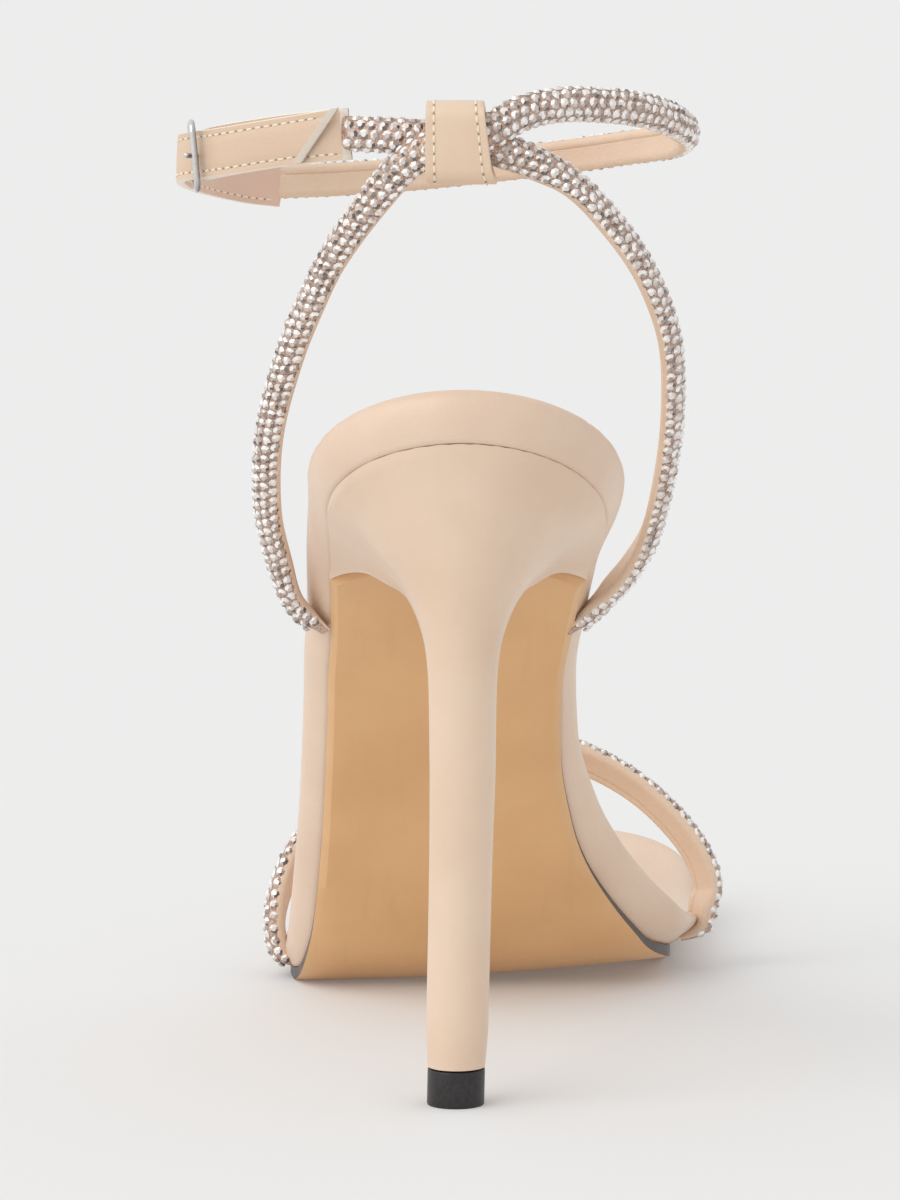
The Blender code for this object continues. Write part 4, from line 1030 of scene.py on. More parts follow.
def stone_finish():
    """Clear glass stones with foil behind, painted with glints: each of their facets is painted a shade
    from near black to white, as painted highlights and painted shade.
    """
    material, nodes, links, shader = new_finish("foiled_stone_painted_glints")
    painted_facet_light = nodes.new("ShaderNodeAttribute")
    painted_facet_light.attribute_name = "painted_facet_light"
    tone = nodes.new("ShaderNodeValToRGB")
    ramp = tone.color_ramp
    ramp.elements[0].position = 0.0
    ramp.elements[0].color = (0.09, 0.07, 0.062, 1)
    ramp.elements[1].position = 1.0
    ramp.elements[1].color = (1.0, 0.99, 0.97, 1)
    middle = ramp.elements.new(0.45)
    middle.color = (0.58, 0.48, 0.43, 1)
    links.new(painted_facet_light.outputs["Fac"], tone.inputs["Fac"])
    links.new(tone.outputs["Color"], shader.inputs["Base Color"])
    shader.inputs["Metallic"].default_value = 0.3
    shader.inputs["Roughness"].default_value = 0.16
    shader.inputs["Coat Weight"].default_value = 1.0
    shader.inputs["Coat Roughness"].default_value = 0.03
    return material


nude_lining = calf_finish("nude_lining", (0.82, 0.64, 0.49), (0.76, 0.57, 0.43), 0.5, 1500, 0.1 * MM)
rosy_mesh_and_knit_shade = mesh_ground_finish()
stone_painted_glints = stone_finish()


def one_stone():
    """A round stone in its seat: a girdle, eight facets and a flat table."""
    bpy.ops.object.select_all(action="DESELECT")
    bpy.ops.mesh.primitive_cone_add(
        vertices=8, radius1=1.0, radius2=STONE_TABLE, depth=0.44, location=(0, 0, 0.39))
    bpy.ops.object.transform_apply(location=True, rotation=True, scale=True)
    pattern = bpy.context.object
    bpy.ops.object.mode_set(mode="EDIT")
    body = bmesh.from_edit_mesh(pattern.data)
    bottom = [face for face in body.faces if face.normal.z < -0.9]
    for face in body.faces:
        face.select_set(face in bottom)
    bpy.ops.mesh.extrude_region_move(TRANSFORM_OT_translate={"value": (0, 0, -0.36)})
    bpy.ops.mesh.delete(type="FACE")
    bpy.ops.object.mode_set(mode="OBJECT")
    points = [v.co.copy() for v in pattern.data.vertices]
    polygons = [tuple(p.vertices) for p in pattern.data.polygons]
    lookouts = [p.normal.copy() for p in pattern.data.polygons]
    bpy.data.objects.remove(pattern)
    return points, polygons, lookouts


STONE = one_stone()
# The side the key light comes from. The stones' facets that face it are painted bright, as painted glints.
PAINTED_GLINT_SIDE = Vector((-0.7, -0.2, 0.7))


def set_stones(name, settings, seed):
    """Sets one stone in each of the settings, (place, looking out, along), in a single mesh."""
    chance = random.Random(seed)
    points, polygons, lookouts = STONE
    vertices, faces, painted_facet_shades = [], [], []
    for place, out, along in settings:
        size = STONE_RADIUS * chance.uniform(0.97, 1.04)
        out = (out + Vector([chance.uniform(-0.10, 0.10) for _ in range(3)])).normalized()
        along = (along - out * along.dot(out)).normalized()
        side = out.cross(along)
        turn = chance.uniform(0, math.pi / 4)
        a = along * math.cos(turn) + side * math.sin(turn)
        b = out.cross(a)
        first = len(vertices)
        for p in points:
            vertices.append(place + (a * p.x + b * p.y + out * p.z) * size)
        # Painted glints: crown facets turned towards the light's side are painted bright and the others
        # darker, with random painted darks. Tables and girdles get random painted shades.
        painted_glint = math.atan2(b.dot(PAINTED_GLINT_SIDE), a.dot(PAINTED_GLINT_SIDE)) + chance.uniform(-0.7, 0.7)
        for polygon, look in zip(polygons, lookouts):
            faces.append(tuple(first + k for k in polygon))
            if look.z > 0.9:
                painted_facet_shades.append(chance.choice((0.30, 0.55, 0.42, 0.70, 0.85)))
            elif look.z > 0.2:
                bright = 0.5 + 0.5 * math.cos(math.atan2(look.y, look.x) - painted_glint)
                painted_facet_shades.append(min(1.0, max(0.03, 0.12 + bright + chance.uniform(-0.42, 0.26))))
            else:
                painted_facet_shades.append(chance.uniform(0.15, 0.5))
    mesh = bpy.data.meshes.new(name)
    mesh.from_pydata([tuple(v + HEEL_TIP) for v in vertices], [], faces)
    painted_facet_light = mesh.attributes.new("painted_facet_light", "FLOAT", "FACE")
    painted_facet_light.data.foreach_set("value", painted_facet_shades)
    mesh.materials.append(stone_painted_glints)
    piece = bpy.data.objects.new(name, mesh)
    SHOE.objects.link(piece)
    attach(piece, "root")
    return piece


def stone_rows(width, thickness, count):
    """Evenly spaced rows over the dome, each as its place and its slope across the strap."""
    half, foot, rise = dome_of(width, thickness)
    fine = 200
    arc = [0.0]
    for i in range(fine):
        a, b = math.pi * i / fine, math.pi * (i + 1) / fine
        step = math.hypot(half * (math.cos(a) - math.cos(b)), rise * (math.sin(b) - math.sin(a)))
        arc.append(arc[-1] + step)
    rows = []
    for row in range(count):
        wanted = 0.5 * MM + (arc[-1] - 1.0 * MM) * row / (count - 1)
        angle = math.pi * min(range(fine + 1), key=lambda i: abs(arc[i] - wanted)) / fine
        lean = Vector((-math.cos(angle) / half, math.sin(angle) / rise)).normalized()
        rows.append((-half * math.cos(angle), foot + rise * math.sin(angle), lean))
    return rows


def stone_settings(frames, width, thickness, count, first_run, last_run, seed):
    """Places for the stones: rows along the strap, each half a stone on from the one beside it."""
    chance = random.Random(seed)
    settings = []
    for row, (x, y, lean) in enumerate(stone_rows(width, thickness, count)):
        run = first_run + STONE_PITCH * 0.5 * (row % 2)
        i = 0
        while run < last_run:
            while i < len(frames) - 2 and frames[i + 1].run < run:
                i += 1
            a, b = frames[i], frames[i + 1]
            t = (run - a.run) / (b.run - a.run)
            across = a.across.lerp(b.across, t)
            upright = a.out.lerp(b.out, t)
            out = (upright * lean.y + across * lean.x).normalized()
            place = a.point.lerp(b.point, t) + across * x + upright * y
            settings.append((place - out * STONE_SUNK, out, a.along))
            run += STONE_PITCH * chance.uniform(0.985, 1.015)
    return settings


def skived(first, last):
    """Thickness along a strap whose ends are pared down: (length, share left) for each end."""
    def share(run, end):
        least = 1.0
        for length, left, reach in ((*first, run), (*last, end - run)):
            t = min(max(reach / length, 0.0), 1.0)
            least = min(least, left + (1 - left) * t * t * (3 - 2 * t))
        return least
    return share


TUCKED = (6 * MM, 0.5)
SEWN_IN = (1.6 * MM, 0.3)
SEWN_LENGTH = 2.4 * MM


def drawn_on(stops, length):
    """The stops of a strap with one more, so that its end goes in between the leathers."""
    (before, _), (last, face) = stops[-2:]
    return stops + [(last + (last - before).normalized() * length, face)]


def ankle_straps():
    outer = tucked_end(STRAP_TUCK, -1, STRAP_THICKNESS, 0.74, 0.86, 0.38, -0.46)
    outer += drawn_on(route(OUTER_STRAP, loop_place), SEWN_LENGTH)
    inner = tucked_end(STRAP_TUCK, 1, STRAP_THICKNESS, 0.92, 0.80, 0.24, -0.10)
    inner += drawn_on(route(INNER_STRAP, loop_place), SEWN_LENGTH)
    profile = padded_profile(STRAP_WIDTH, STRAP_THICKNESS)
    outer_frames = strap_frames(outer, 0.8 * MM)
    inner_frames = strap_frames(inner, 0.8 * MM)
    finishes = [rosy_mesh_and_knit_shade, nude_lining]
    thin = skived(TUCKED, SEWN_IN)
    first = swept_piece("outer_ankle_strap", outer_frames, profile, finishes, thin)
    second = swept_piece("inner_ankle_strap", inner_frames, profile, finishes, thin)
    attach(first, "root")
    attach(second, "root")
    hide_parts("ankle_straps")
    end = outer_frames[-1].run
    settings = stone_settings(
        outer_frames, STRAP_WIDTH, STRAP_THICKNESS, STONE_ROWS, 3.0 * MM, end - 1.3 * MM, 3)
    stones = set_stones("outer_strap_stones", settings, 11)
    end = inner_frames[-1].run
    settings = stone_settings(
        inner_frames, STRAP_WIDTH, STRAP_THICKNESS, STONE_ROWS, 3.0 * MM, end - 1.3 * MM, 5)
    clear = []
    for setting in settings:
        gap = min((setting[0] - other.point).length for other in outer_frames[::2])
        if gap > 0.52 * STRAP_WIDTH:
            clear.append(setting)
    stones = set_stones("inner_strap_stones", clear, 12)


ankle_straps()


# Toe strap
# One strap of the same make across the toes, a little wider, with both ends tucked in under
# the footbed at the ball of the foot.

TOE_STRAP_WIDTH = 7.4 * MM
TOE_STRAP_THICKNESS = 4.2 * MM
TOE_STRAP_HEIGHT = 42.6 * MM
TOE_STRAP_OUTER = 117.5 * MM
TOE_STRAP_INNER = 127.8 * MM
TOE_STRAP_SWEEP = 14.5 * MM

TOE_STRAP = [
    Stop(-0.452, 0.10, 0.385, (-0.97, 0.20, 0.10)),
    Stop(-0.412, 0.25, 0.548, (-0.86, 0.42, 0.28)),
    Stop(-0.335, 0.45, 0.712, (-0.68, 0.60, 0.42)),
    Stop(-0.219, 0.67, 0.856, (-0.42, 0.76, 0.50)),
    Stop(-0.077, 0.85, 0.957, (-0.18, 0.84, 0.51)),
    Stop(0.065, 0.95, 1.000, (0.00, 0.86, 0.50)),
    Stop(0.194, 0.98, 0.978, (0.16, 0.85, 0.50)),
    Stop(0.314, 0.97, 0.899, (0.34, 0.80, 0.48)),
    Stop(0.420, 0.94, 0.784, (0.50, 0.74, 0.45)),
    Stop(0.510, 0.88, 0.630, (0.64, 0.69, 0.34)),
    Stop(0.567, 0.82, 0.481, (0.74, 0.64, 0.20)),
    Stop(0.587, 0.77, 0.349, (0.78, 0.62, 0.08)),
]


def toe_place(across, along, up):
    return Vector((across * BALL_WIDTH, TOE_STRAP_OUTER + along * TOE_STRAP_SWEEP, up * TOE_STRAP_HEIGHT))


def toe_strap():
    start = tucked_end(TOE_STRAP_OUTER, -1, TOE_STRAP_THICKNESS, 0.42, 1.30, 0.0, 0.0)
    end = tucked_end(TOE_STRAP_INNER, 1, TOE_STRAP_THICKNESS, 0.34, 1.05, 0.0, 0.60, 0.30)
    frames = strap_frames(start + route(TOE_STRAP, toe_place) + list(reversed(end)), 0.8 * MM)
    profile = padded_profile(TOE_STRAP_WIDTH, TOE_STRAP_THICKNESS)
    finishes = [rosy_mesh_and_knit_shade, nude_lining]
    piece = swept_piece("toe_strap_padding", frames, profile, finishes, skived(TUCKED, TUCKED))
    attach(piece, "root")
    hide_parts("toe_strap")
    last = frames[-1].run
    settings = stone_settings(
        frames, TOE_STRAP_WIDTH, TOE_STRAP_THICKNESS, STONE_ROWS, 3.6 * MM, last - 3.6 * MM, 7)
    stones = set_stones("toe_strap_stones", settings, 13)


toe_strap()


# Keeper loop
# A band of folded nude calf round the crossing of the straps, closed at the front and sewn
# with cream thread along both of its sides.

KEEPER_WIDTH = 10.6 * MM
KEEPER_WALL = 1.2 * MM
KEEPER_SLACK = 0.45 * MM
CROSSING_HEIGHT = 4.2 * MM
CROSSING_DEPTH = 2.8 * MM
KEEPER_FLARE = 0.12
KEEPER_LEAN = 0.05

keeper_calf = calf_finish(
    "keeper_calf", (0.80, 0.615, 0.455), (0.75, 0.555, 0.40), 0.36, 2400, 0.05 * MM, 0.12)
cream_thread = calf_finish("cream_thread", (0.90, 0.80, 0.65), (0.82, 0.71, 0.56), 0.6, 5200, 0.05 * MM)
# Needle holes are flat dark discs: painted shade inside each hole.
needle_hole_painted_shade = calf_finish("needle_hole_painted_shade", (0.44, 0.28, 0.18), (0.34, 0.21, 0.13), 0.7, 3000, 0.02 * MM)


def one_stitch():
    """A stitch between two needle holes: a short plump length of thread."""
    bpy.ops.object.select_all(action="DESELECT")
    bpy.ops.mesh.primitive_uv_sphere_add(
        segments=8, ring_count=6, radius=1.0, location=(0, 0, 0), rotation=(0, math.pi / 2, 0))
    pattern = bpy.context.object
    bpy.ops.object.transform_apply(location=True, rotation=True, scale=True)
    points = [v.co.copy() for v in pattern.data.vertices]
    polygons = [tuple(p.vertices) for p in pattern.data.polygons]
    bpy.data.objects.remove(pattern)
    return points, polygons


STITCH = one_stitch()


def sew(name, lines, pitch=1.7 * MM, thread=0.22 * MM):
    """Stitches along each of the lines, which are lists of (place, looking out)."""
    points, polygons = STITCH
    vertices, faces, picks = [], [], []

    def put(middle, along, out, long, wide, high, pick):
        side = out.cross(along)
        first = len(vertices)
        for p in points:
            vertices.append(middle + along * (p.x * long) + side * (p.y * wide) + out * (p.z * high))
        for polygon in polygons:
            faces.append(tuple(first + k for k in polygon))
            picks.append(pick)

    for line in lines:
        runs = [0.0]
        for (a, _), (b, _) in zip(line, line[1:]):
            runs.append(runs[-1] + (b - a).length)
        count = max(1, int(runs[-1] / pitch))
        i = 0
        for n in range(count):
            run = runs[-1] * (n + 0.5) / count
            while i < len(line) - 2 and runs[i + 1] < run:
                i += 1
            t = (run - runs[i]) / (runs[i + 1] - runs[i])
            middle = line[i][0].lerp(line[i + 1][0], t)
            along = (line[i + 1][0] - line[i][0]).normalized()
            out = line[i][1].lerp(line[i + 1][1], t)
            out = (out - along * out.dot(along)).normalized()
            put(middle + out * 0.03 * MM, along, out, pitch * 0.36, thread, thread * 0.8, 0)
            # Each hole is a flat dark disc just under the surface: painted shade in the needle hole.
            hole_shade = middle + along * pitch / 2 - out * 0.02 * MM
            put(hole_shade, along, out, 0.20 * MM, 0.20 * MM, 0.06 * MM, 1)
    piece = shell_piece(name, vertices, faces, [cream_thread, needle_hole_painted_shade], picks)
    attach(piece, "root")
    return piece


def rounded_ring(height, depth, corner, steps):
    points = []
    for side_d, side_h, start in ((1, 1, 0), (-1, 1, 90), (-1, -1, 180), (1, -1, 270)):
        for i in range(steps):
            angle = math.radians(start + 90 * i / (steps - 1))
            d = side_d * (depth / 2 - corner) + corner * math.cos(angle)
            h = side_h * (height / 2 - corner) + corner * math.sin(angle)
            points.append((d, h, Vector((math.cos(angle), math.sin(angle)))))
    return points


def keeper():
    height = STRAP_WIDTH + CROSSING_HEIGHT + 2 * KEEPER_SLACK
    depth = STRAP_THICKNESS + CROSSING_DEPTH + 2 * KEEPER_SLACK
    middle = loop_place(0.003, -0.003, 0.999)
    ring = rounded_ring(height, depth, 1.6 * MM, 12)
    wall = KEEPER_WALL
    section = [(-1.0, 0.25), (-1.0, 0.75), (-0.97, 1.0), (-0.80, 1.0), (-0.72, 0.93), (-0.62, 1.02),
               (-0.3, 1.05), (0.3, 1.05), (0.62, 1.02), (0.72, 0.93), (0.80, 1.0), (0.97, 1.0),
               (1.0, 0.75), (1.0, 0.25), (0.95, 0.0), (0.4, 0.0), (-0.4, 0.0), (-0.95, 0.0)]

    def place(d, h, normal, across, lift):
        d, h = d + normal.x * wall * lift, h + normal.y * wall * lift
        flare = 1 - KEEPER_FLARE * h / height
        corner = 0.5 * MM * max(0.0, across) * max(0.0, -h / height * 2) ** 3
        x = across * KEEPER_WIDTH / 2 * flare - KEEPER_LEAN * h + corner
        return middle + Vector((x, d, h))

    vertices, faces = [], []
    for d, h, normal in ring:
        for across, lift in section:
            vertices.append(place(d, h, normal, across, lift))
    wide = len(section)
    count = len(ring)
    for i in range(count):
        for k in range(wide):
            a, b = i * wide + k, i * wide + (k + 1) % wide
            c, e = ((i + 1) % count) * wide + (k + 1) % wide, ((i + 1) % count) * wide + k
            faces.append((a, b, c, e))
    piece = shell_piece("keeper_loop", vertices, faces, [keeper_calf], angle=60)
    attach(piece, "root")
    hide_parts("keeper")
    lines = []
    for across in (-0.72, 0.72):
        line = []
        for d, h, normal in ring + ring[:1]:
            out = Vector((0, normal.x, normal.y))
            line.append((place(d, h, normal, across, 0.98), out))
        lines.append(line)
    sew("keeper_stitches", lines)


keeper()


# Tail and buckle tab
# The two leather ends of the ankle strap. Each is two layers of nude calf glued and sewn along
# the edges, with a pale cut edge. The tail goes out through the buckle and lies over the tab;
# the tab runs up to the buckle's far bar and is sewn down.

TAIL_WIDTH = 8.2 * MM
TAB_WIDTH = 8.8 * MM
LEATHER = 1.5 * MM
TAIL_SLANT = -1.05
SLANT_REACH = 12 * MM
CUT_SLOPE = 1.2 * MM
SEWN_INSET = 1.15 * MM

BILLET = [
    Stop(-0.358, 0.823, 0.874, (-0.58, 0.81, 0.06)),
    Stop(-0.421, 0.745, 0.886, (-0.70, 0.70, 0.08)),
    Stop(-0.483, 0.645, 0.905, (-0.84, 0.53, 0.08)),
    Stop(-0.522, 0.530, 0.924, (-0.96, 0.24, 0.08)),
    Stop(-0.537, 0.415, 0.941, (-1.00, -0.02, 0.06)),
    Stop(-0.529, 0.320, 0.953, (-0.95, -0.30, 0.05)),
    Stop(-0.485, 0.247, 0.963, (-0.76, -0.65, 0.05)),
    Stop(-0.444, 0.184, 0.972, (-0.60, -0.80, 0.05)),
    Stop(-0.375, 0.134, 0.986, (-0.42, -0.90, 0.05)),
    Stop(-0.318, 0.096, 0.997, (-0.34, -0.94, 0.05)),
    Stop(-0.262, 0.060, 1.008, (-0.28, -0.96, 0.05)),
]

BUCKLE_TAB = [
    Stop(-0.204, 0.074, 1.010, (-0.26, -0.96, 0.05)),
    Stop(-0.264, 0.100, 1.004, (-0.32, -0.95, 0.05)),
    Stop(-0.337, 0.142, 0.993, (-0.44, -0.90, 0.05)),
    Stop(-0.404, 0.197, 0.980, (-0.56, -0.83, 0.05)),
    Stop(-0.454, 0.262, 0.968, (-0.74, -0.67, 0.05)),
    Stop(-0.484, 0.352, 0.957, (-0.94, -0.32, 0.05)),
]

tail_calf = calf_finish("tail_calf", (0.74, 0.555, 0.41), (0.69, 0.50, 0.36), 0.38, 2400, 0.05 * MM, 0.1)
pink_lining = calf_finish("pink_lining", (0.80, 0.585, 0.475), (0.745, 0.53, 0.42), 0.5, 2200, 0.06 * MM)
cut_edge = calf_finish("pale_cut_edge", (0.95, 0.89, 0.79), (0.89, 0.80, 0.68), 0.6, 4200, 0.08 * MM)


def banded_profile(width, thickness):
    """Cut through a sewn band: outer face, two edges and lining, as (across, out, finish)."""
    w, t = width / 2, thickness / 2
    top = [(-w + 0.15 * MM, t, 0), (-w + 0.9 * MM, t, 0),
           (-w + 1.15 * MM, t - 0.10 * MM, 0), (-w + 1.4 * MM, t + 0.02 * MM, 0)]
    top += [(-w * 0.3, t + 0.08 * MM, 0), (w * 0.3, t + 0.08 * MM, 0)]
    top += [(-side, rise, pick) for side, rise, pick in reversed(top[:4])]
    edge = [(w, t - 0.25 * MM, 1), (w, -t + 0.25 * MM, 1)]
    low = [(w - 0.15 * MM, -t, 2), (w * 0.4, -t, 2), (-w * 0.4, -t, 2), (-w + 0.15 * MM, -t, 2)]
    return top + edge + low + [(-w, -t + 0.25 * MM, 1), (-w, t - 0.25 * MM, 1)]


def slant_pull(left):
    """How much of the slanted cut is felt, at a length left to the end of the band."""
    return min(1.0, max(0.0, 1 - (left - CUT_SLOPE) / SLANT_REACH)) ** 2


def banded_piece(name, frames, width, thickness, slant, finishes):
    """A sewn band whose far end is cut through at a slope, so that its pale core shows.
    slant is how far that end runs on along the band for each length across it."""
    profile = banded_profile(width, thickness)
    vertices, faces, picks = [], [], []
    count = len(profile)
    end = frames[-1].run
    kept = frames[:-2] + frames[-1:]
    for at in kept:
        pull = slant_pull(end - at.run)
        for side, rise, pick in profile:
            own = -0.42 * thickness if at is frames[-1] and rise > 0 else rise
            vertices.append(at.point + at.across * side + at.out * own + at.along * side * slant * pull)
    for i in range(len(kept) - 1):
        faces += faces_between(i * count, (i + 1) * count, count)
        for k in range(count):
            a, b = profile[k][2], profile[(k + 1) % count][2]
            picks.append(a if a == b and (i < len(kept) - 2 or a == 2) else 1)
    faces.append(tuple(range(count)))
    faces.append(tuple((len(kept) - 1) * count + i for i in range(count)))
    picks += [1, 1]
    return shell_piece(name, vertices, faces, finishes, picks, 35)


def edge_lines(frames, width, thickness, slant, inset, first, last, inside=False):
    """Two lines of sewing along a band, one inside each of its edges."""
    lines = []
    end = frames[-1].run
    t = -thickness / 2 - 0.02 * MM if inside else thickness / 2 - 0.03 * MM
    for sign in (-1, 1):
        side = sign * (width / 2 - inset)
        line = []
        for at in frames:
            if first <= at.run <= end - last:
                pull = slant_pull(end - at.run)
                place = at.point + at.across * side + at.out * t + at.along * side * slant * pull
                line.append((place, -at.out if inside else at.out))
        lines.append(line)
    return lines


def tail():
    frames = strap_frames(route(BILLET, loop_place), 0.6 * MM)
    finishes = [tail_calf, cut_edge, pink_lining]
    piece = banded_piece("buckle_tail", frames, TAIL_WIDTH, LEATHER, TAIL_SLANT, finishes)
    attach(piece, "root")
    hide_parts("billet")
    outside = edge_lines(frames, TAIL_WIDTH, LEATHER, TAIL_SLANT, SEWN_INSET, 1.5 * MM, 2.2 * MM)
    within = edge_lines(frames, TAIL_WIDTH, LEATHER, TAIL_SLANT, SEWN_INSET, 1.5 * MM, 22 * MM, True)
    sew("tail_stitches", outside + within)


def tab():
    frames = strap_frames(list(reversed(route(BUCKLE_TAB, loop_place))), 0.6 * MM)
    finishes = [tail_calf, cut_edge, pink_lining]
    piece = banded_piece("sewn_tab", frames, TAB_WIDTH, LEATHER, 0.0, finishes)
    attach(piece, "root")
    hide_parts("buckle_tab")
    lines = edge_lines(frames, TAB_WIDTH, LEATHER, 0.0, SEWN_INSET, 1 * MM, 2.2 * MM)
    sew("tab_stitches", lines)


tail()
tab()


# Buckle
# A small roller-less buckle of polished silver-coloured wire: a rounded frame and a short
# prong that goes out through the tail and rests on the near bar.

BUCKLE_HEIGHT = 12.6 * MM
BUCKLE_LENGTH = 8.6 * MM
BUCKLE_WIRE = 1.15 * MM
BUCKLE_TURN = math.radians(95)
BUCKLE_LEAN = math.radians(5)
PRONG_WIRE = 0.9 * MM

# The prong from the far bar to the near one: along the frame in half lengths, out in leathers.
PRONG_BENDS = [
    (0.62, -0.50),
    (-0.06, -1.32),
    (-0.30, -1.40),
    (-0.60, 0.52),
    (-0.76, 0.86),
    (-0.88, 0.92),
    (-0.98, 0.90),
]


def silver_finish():
    """Silver wire with a fine haze and a painted reflection: its upper left sides are painted lighter
    and its lower right ones painted darker."""
    material, nodes, links, shader = new_finish("silver_wire_painted_reflection")
    place = nodes.new("ShaderNodeTexCoord")
    haze = noise(nodes, links, place.outputs["Object"], 700, 4)
    tone = nodes.new("ShaderNodeMix")
    tone.data_type = "RGBA"
    tone.inputs["A"].default_value = (0.60, 0.59, 0.58, 1)
    tone.inputs["B"].default_value = (0.42, 0.41, 0.40, 1)
    links.new(haze.outputs["Fac"], tone.inputs["Factor"])
    # Painted reflection: the colour is scaled up on faces pointing up and to the left, and down on faces
    # pointing the other way.
    sides = nodes.new("ShaderNodeVectorMath")
    sides.operation = "DOT_PRODUCT"
    sides.inputs[1].default_value = (-0.75, -0.35, 0.55)
    links.new(place.outputs["Normal"], sides.inputs[0])
    painted_reflection = nodes.new("ShaderNodeMapRange")
    painted_reflection.inputs["From Min"].default_value = -0.6
    painted_reflection.inputs["From Max"].default_value = 0.6
    painted_reflection.inputs["To Min"].default_value = 0.55
    painted_reflection.inputs["To Max"].default_value = 1.45
    links.new(sides.outputs["Value"], painted_reflection.inputs["Value"])
    seen = nodes.new("ShaderNodeVectorMath")
    seen.operation = "SCALE"
    links.new(tone.outputs["Result"], seen.inputs[0])
    links.new(painted_reflection.outputs["Result"], seen.inputs["Scale"])
    links.new(seen.outputs["Vector"], shader.inputs["Base Color"])
    shader.inputs["Metallic"].default_value = 1.0
    shine = nodes.new("ShaderNodeMapRange")
    shine.inputs["To Min"].default_value = 0.10
    shine.inputs["To Max"].default_value = 0.26
    links.new(haze.outputs["Fac"], shine.inputs["Value"])
    links.new(shine.outputs["Result"], shader.inputs["Roughness"])
    return material


silver = silver_finish()


def buckle_axes():
    along = Vector((math.cos(BUCKLE_TURN), math.sin(BUCKLE_TURN), -0.12)).normalized()
    out = Vector((-along.y, along.x, 0)).normalized()
    return loop_place(-0.509, 0.280, 0.957), along, out, along.cross(out)


def wire(name, points, thickness, closed, node):
    """Wire bent through the points, and capped flat where it ends."""
    curve = bpy.data.curves.new(name, "CURVE")
    curve.dimensions = "3D"
    curve.bevel_depth = thickness / 2
    curve.bevel_resolution = 5
    curve.use_fill_caps = not closed
    line = curve.splines.new("POLY")
    line.points.add(len(points) - 1)
    for bend, point in zip(line.points, points):
        bend.co = (*(point + HEEL_TIP), 1.0)
    line.use_cyclic_u = closed
    guide = bpy.data.objects.new(name + "_line", curve)
    SHOE.objects.link(guide)
    bpy.context.view_layer.update()
    mesh = bpy.data.meshes.new_from_object(guide.evaluated_get(bpy.context.evaluated_depsgraph_get()))
    bpy.data.objects.remove(guide)
    body = bmesh.new()
    body.from_mesh(mesh)
    bmesh.ops.remove_doubles(body, verts=body.verts, dist=0.005 * MM)
    bmesh.ops.recalc_face_normals(body, faces=body.faces)
    body.to_mesh(mesh)
    body.free()
    mesh.shade_smooth()
    mesh.materials.clear()
    mesh.materials.append(silver)
    piece = bpy.data.objects.new(name, mesh)
    SHOE.objects.link(piece)
    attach(piece, "root")
    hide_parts(node)
    return piece


def buckle():
    middle, along, out, up = buckle_axes()
    up = up * math.cos(BUCKLE_LEAN) + out * math.sin(BUCKLE_LEAN)
    loop = rounded_ring(BUCKLE_HEIGHT - BUCKLE_WIRE, BUCKLE_LENGTH - BUCKLE_WIRE, 2.0 * MM, 10)
    bent = [middle + along * d + up * h for d, h, normal in loop]
    wire("wire_frame", bent, BUCKLE_WIRE, True, "buckle_frame")
    reach = (BUCKLE_LENGTH - BUCKLE_WIRE) / 2
    points = [middle + along * (a * reach) + out * (o * LEATHER) for a, o in PRONG_BENDS]
    wire("wire_prong", points, PRONG_WIRE, False, "buckle_prong")


buckle()


# Stage
# A pale floor that fills the view, a bright sky that is a little brighter on the left, and one
# large soft light from the upper left, as in a catalogue picture.

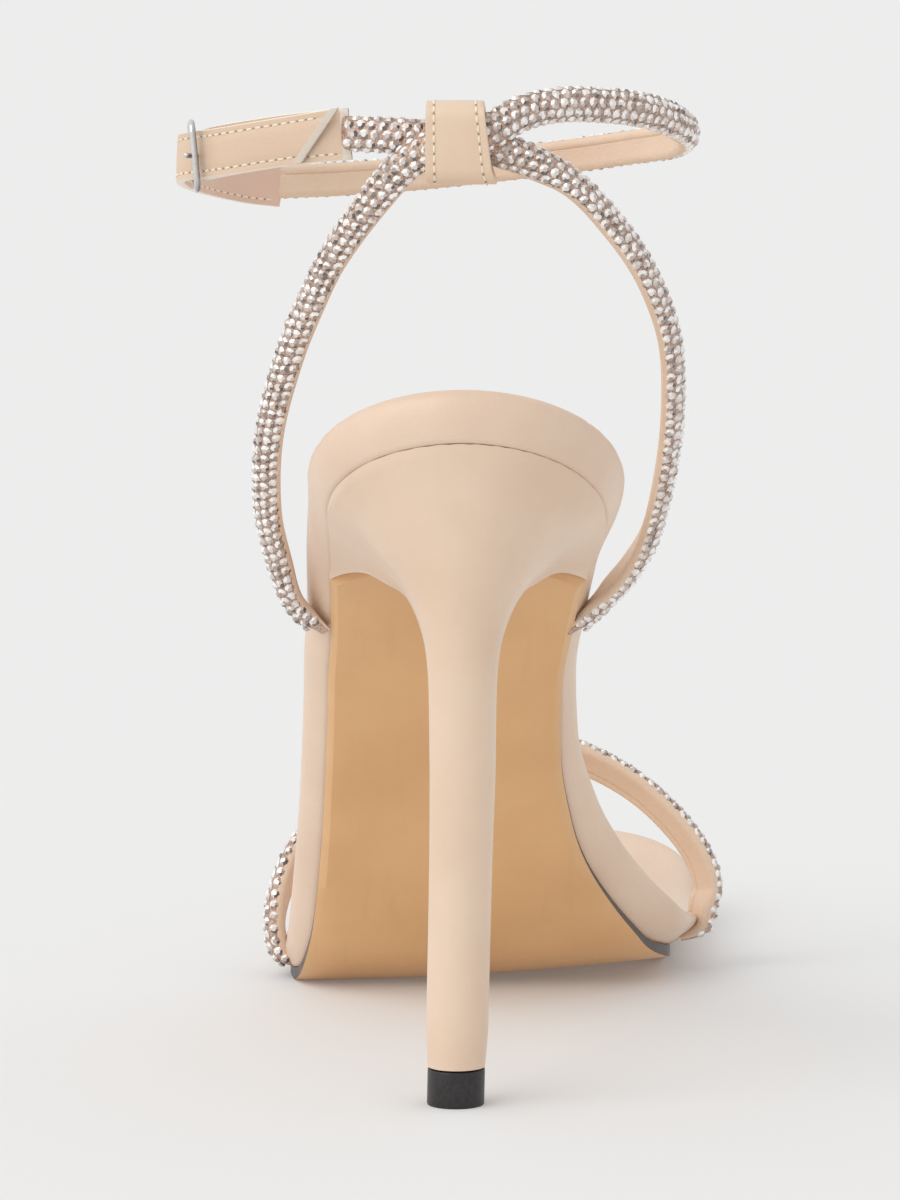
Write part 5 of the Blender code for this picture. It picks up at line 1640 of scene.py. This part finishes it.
def stage():
    bpy.ops.object.select_all(action="DESELECT")
    bpy.ops.mesh.primitive_plane_add(size=24, location=(0, 4, 0))
    floor = bpy.context.object
    floor.name = "studio_floor"
    material, nodes, links, shader = new_finish("pale_floor")
    place = nodes.new("ShaderNodeTexCoord")
    cloud = nodes.new("ShaderNodeTexNoise")
    cloud.inputs["Scale"].default_value = 3
    links.new(place.outputs["Object"], cloud.inputs["Vector"])
    tone = nodes.new("ShaderNodeMix")
    tone.data_type = "RGBA"
    tone.inputs["A"].default_value = (0.73, 0.73, 0.73, 1)
    tone.inputs["B"].default_value = (0.74, 0.74, 0.74, 1)
    links.new(cloud.outputs["Fac"], tone.inputs["Factor"])
    links.new(tone.outputs["Result"], shader.inputs["Base Color"])
    shader.inputs["Roughness"].default_value = 0.9
    shader.inputs["Specular IOR Level"].default_value = 0.0
    shader.inputs["Emission Color"].default_value = (1, 1, 1, 1)
    shader.inputs["Emission Strength"].default_value = 0.10
    floor.data.materials.append(material)

    world = bpy.data.worlds.new("studio")
    bpy.context.scene.world = world
    world.use_nodes = True
    sky = world.node_tree.nodes["Background"]
    sky.inputs["Strength"].default_value = 0.85
    way = world.node_tree.nodes.new("ShaderNodeTexCoord")
    parts = world.node_tree.nodes.new("ShaderNodeSeparateXYZ")
    world.node_tree.links.new(way.outputs["Generated"], parts.inputs["Vector"])
    glow = world.node_tree.nodes.new("ShaderNodeMapRange")
    glow.inputs["From Min"].default_value = -1.0
    glow.inputs["To Min"].default_value = 1.14
    glow.inputs["To Max"].default_value = 0.82
    world.node_tree.links.new(parts.outputs["X"], glow.inputs["Value"])
    world.node_tree.links.new(glow.outputs["Result"], sky.inputs["Color"])

    key = bpy.data.lights.new("soft_key", "SUN")
    key.energy = 0.9
    key.angle = math.radians(50)
    key.color = (1.0, 0.99, 0.97)
    lamp = bpy.data.objects.new("soft_key", key)
    lamp.rotation_euler = Vector((0.8, 0.6, -0.85)).to_track_quat("-Z", "Y").to_euler()
    SHOE.objects.link(lamp)


stage()

CAMERA_BACK = 1280 * MM
CAMERA_SIDE = 24 * MM
CAMERA_HEIGHT = 266 * MM
YAW = math.radians(1.117)
PITCH = math.radians(7.928)

camera_data = bpy.data.cameras.new("camera")
camera_data.sensor_fit = "VERTICAL"
camera_data.sensor_height = 36
camera_data.lens = 227.0
camera_data.clip_end = 100
camera = bpy.data.objects.new("camera", camera_data)
camera.location = HEEL_TIP + Vector((CAMERA_SIDE, -CAMERA_BACK, CAMERA_HEIGHT))
camera.rotation_euler = (math.pi / 2 - PITCH, 0, YAW)
SHOE.objects.link(camera)
bpy.context.scene.camera = camera
bpy.context.scene.view_settings.view_transform = "Standard"
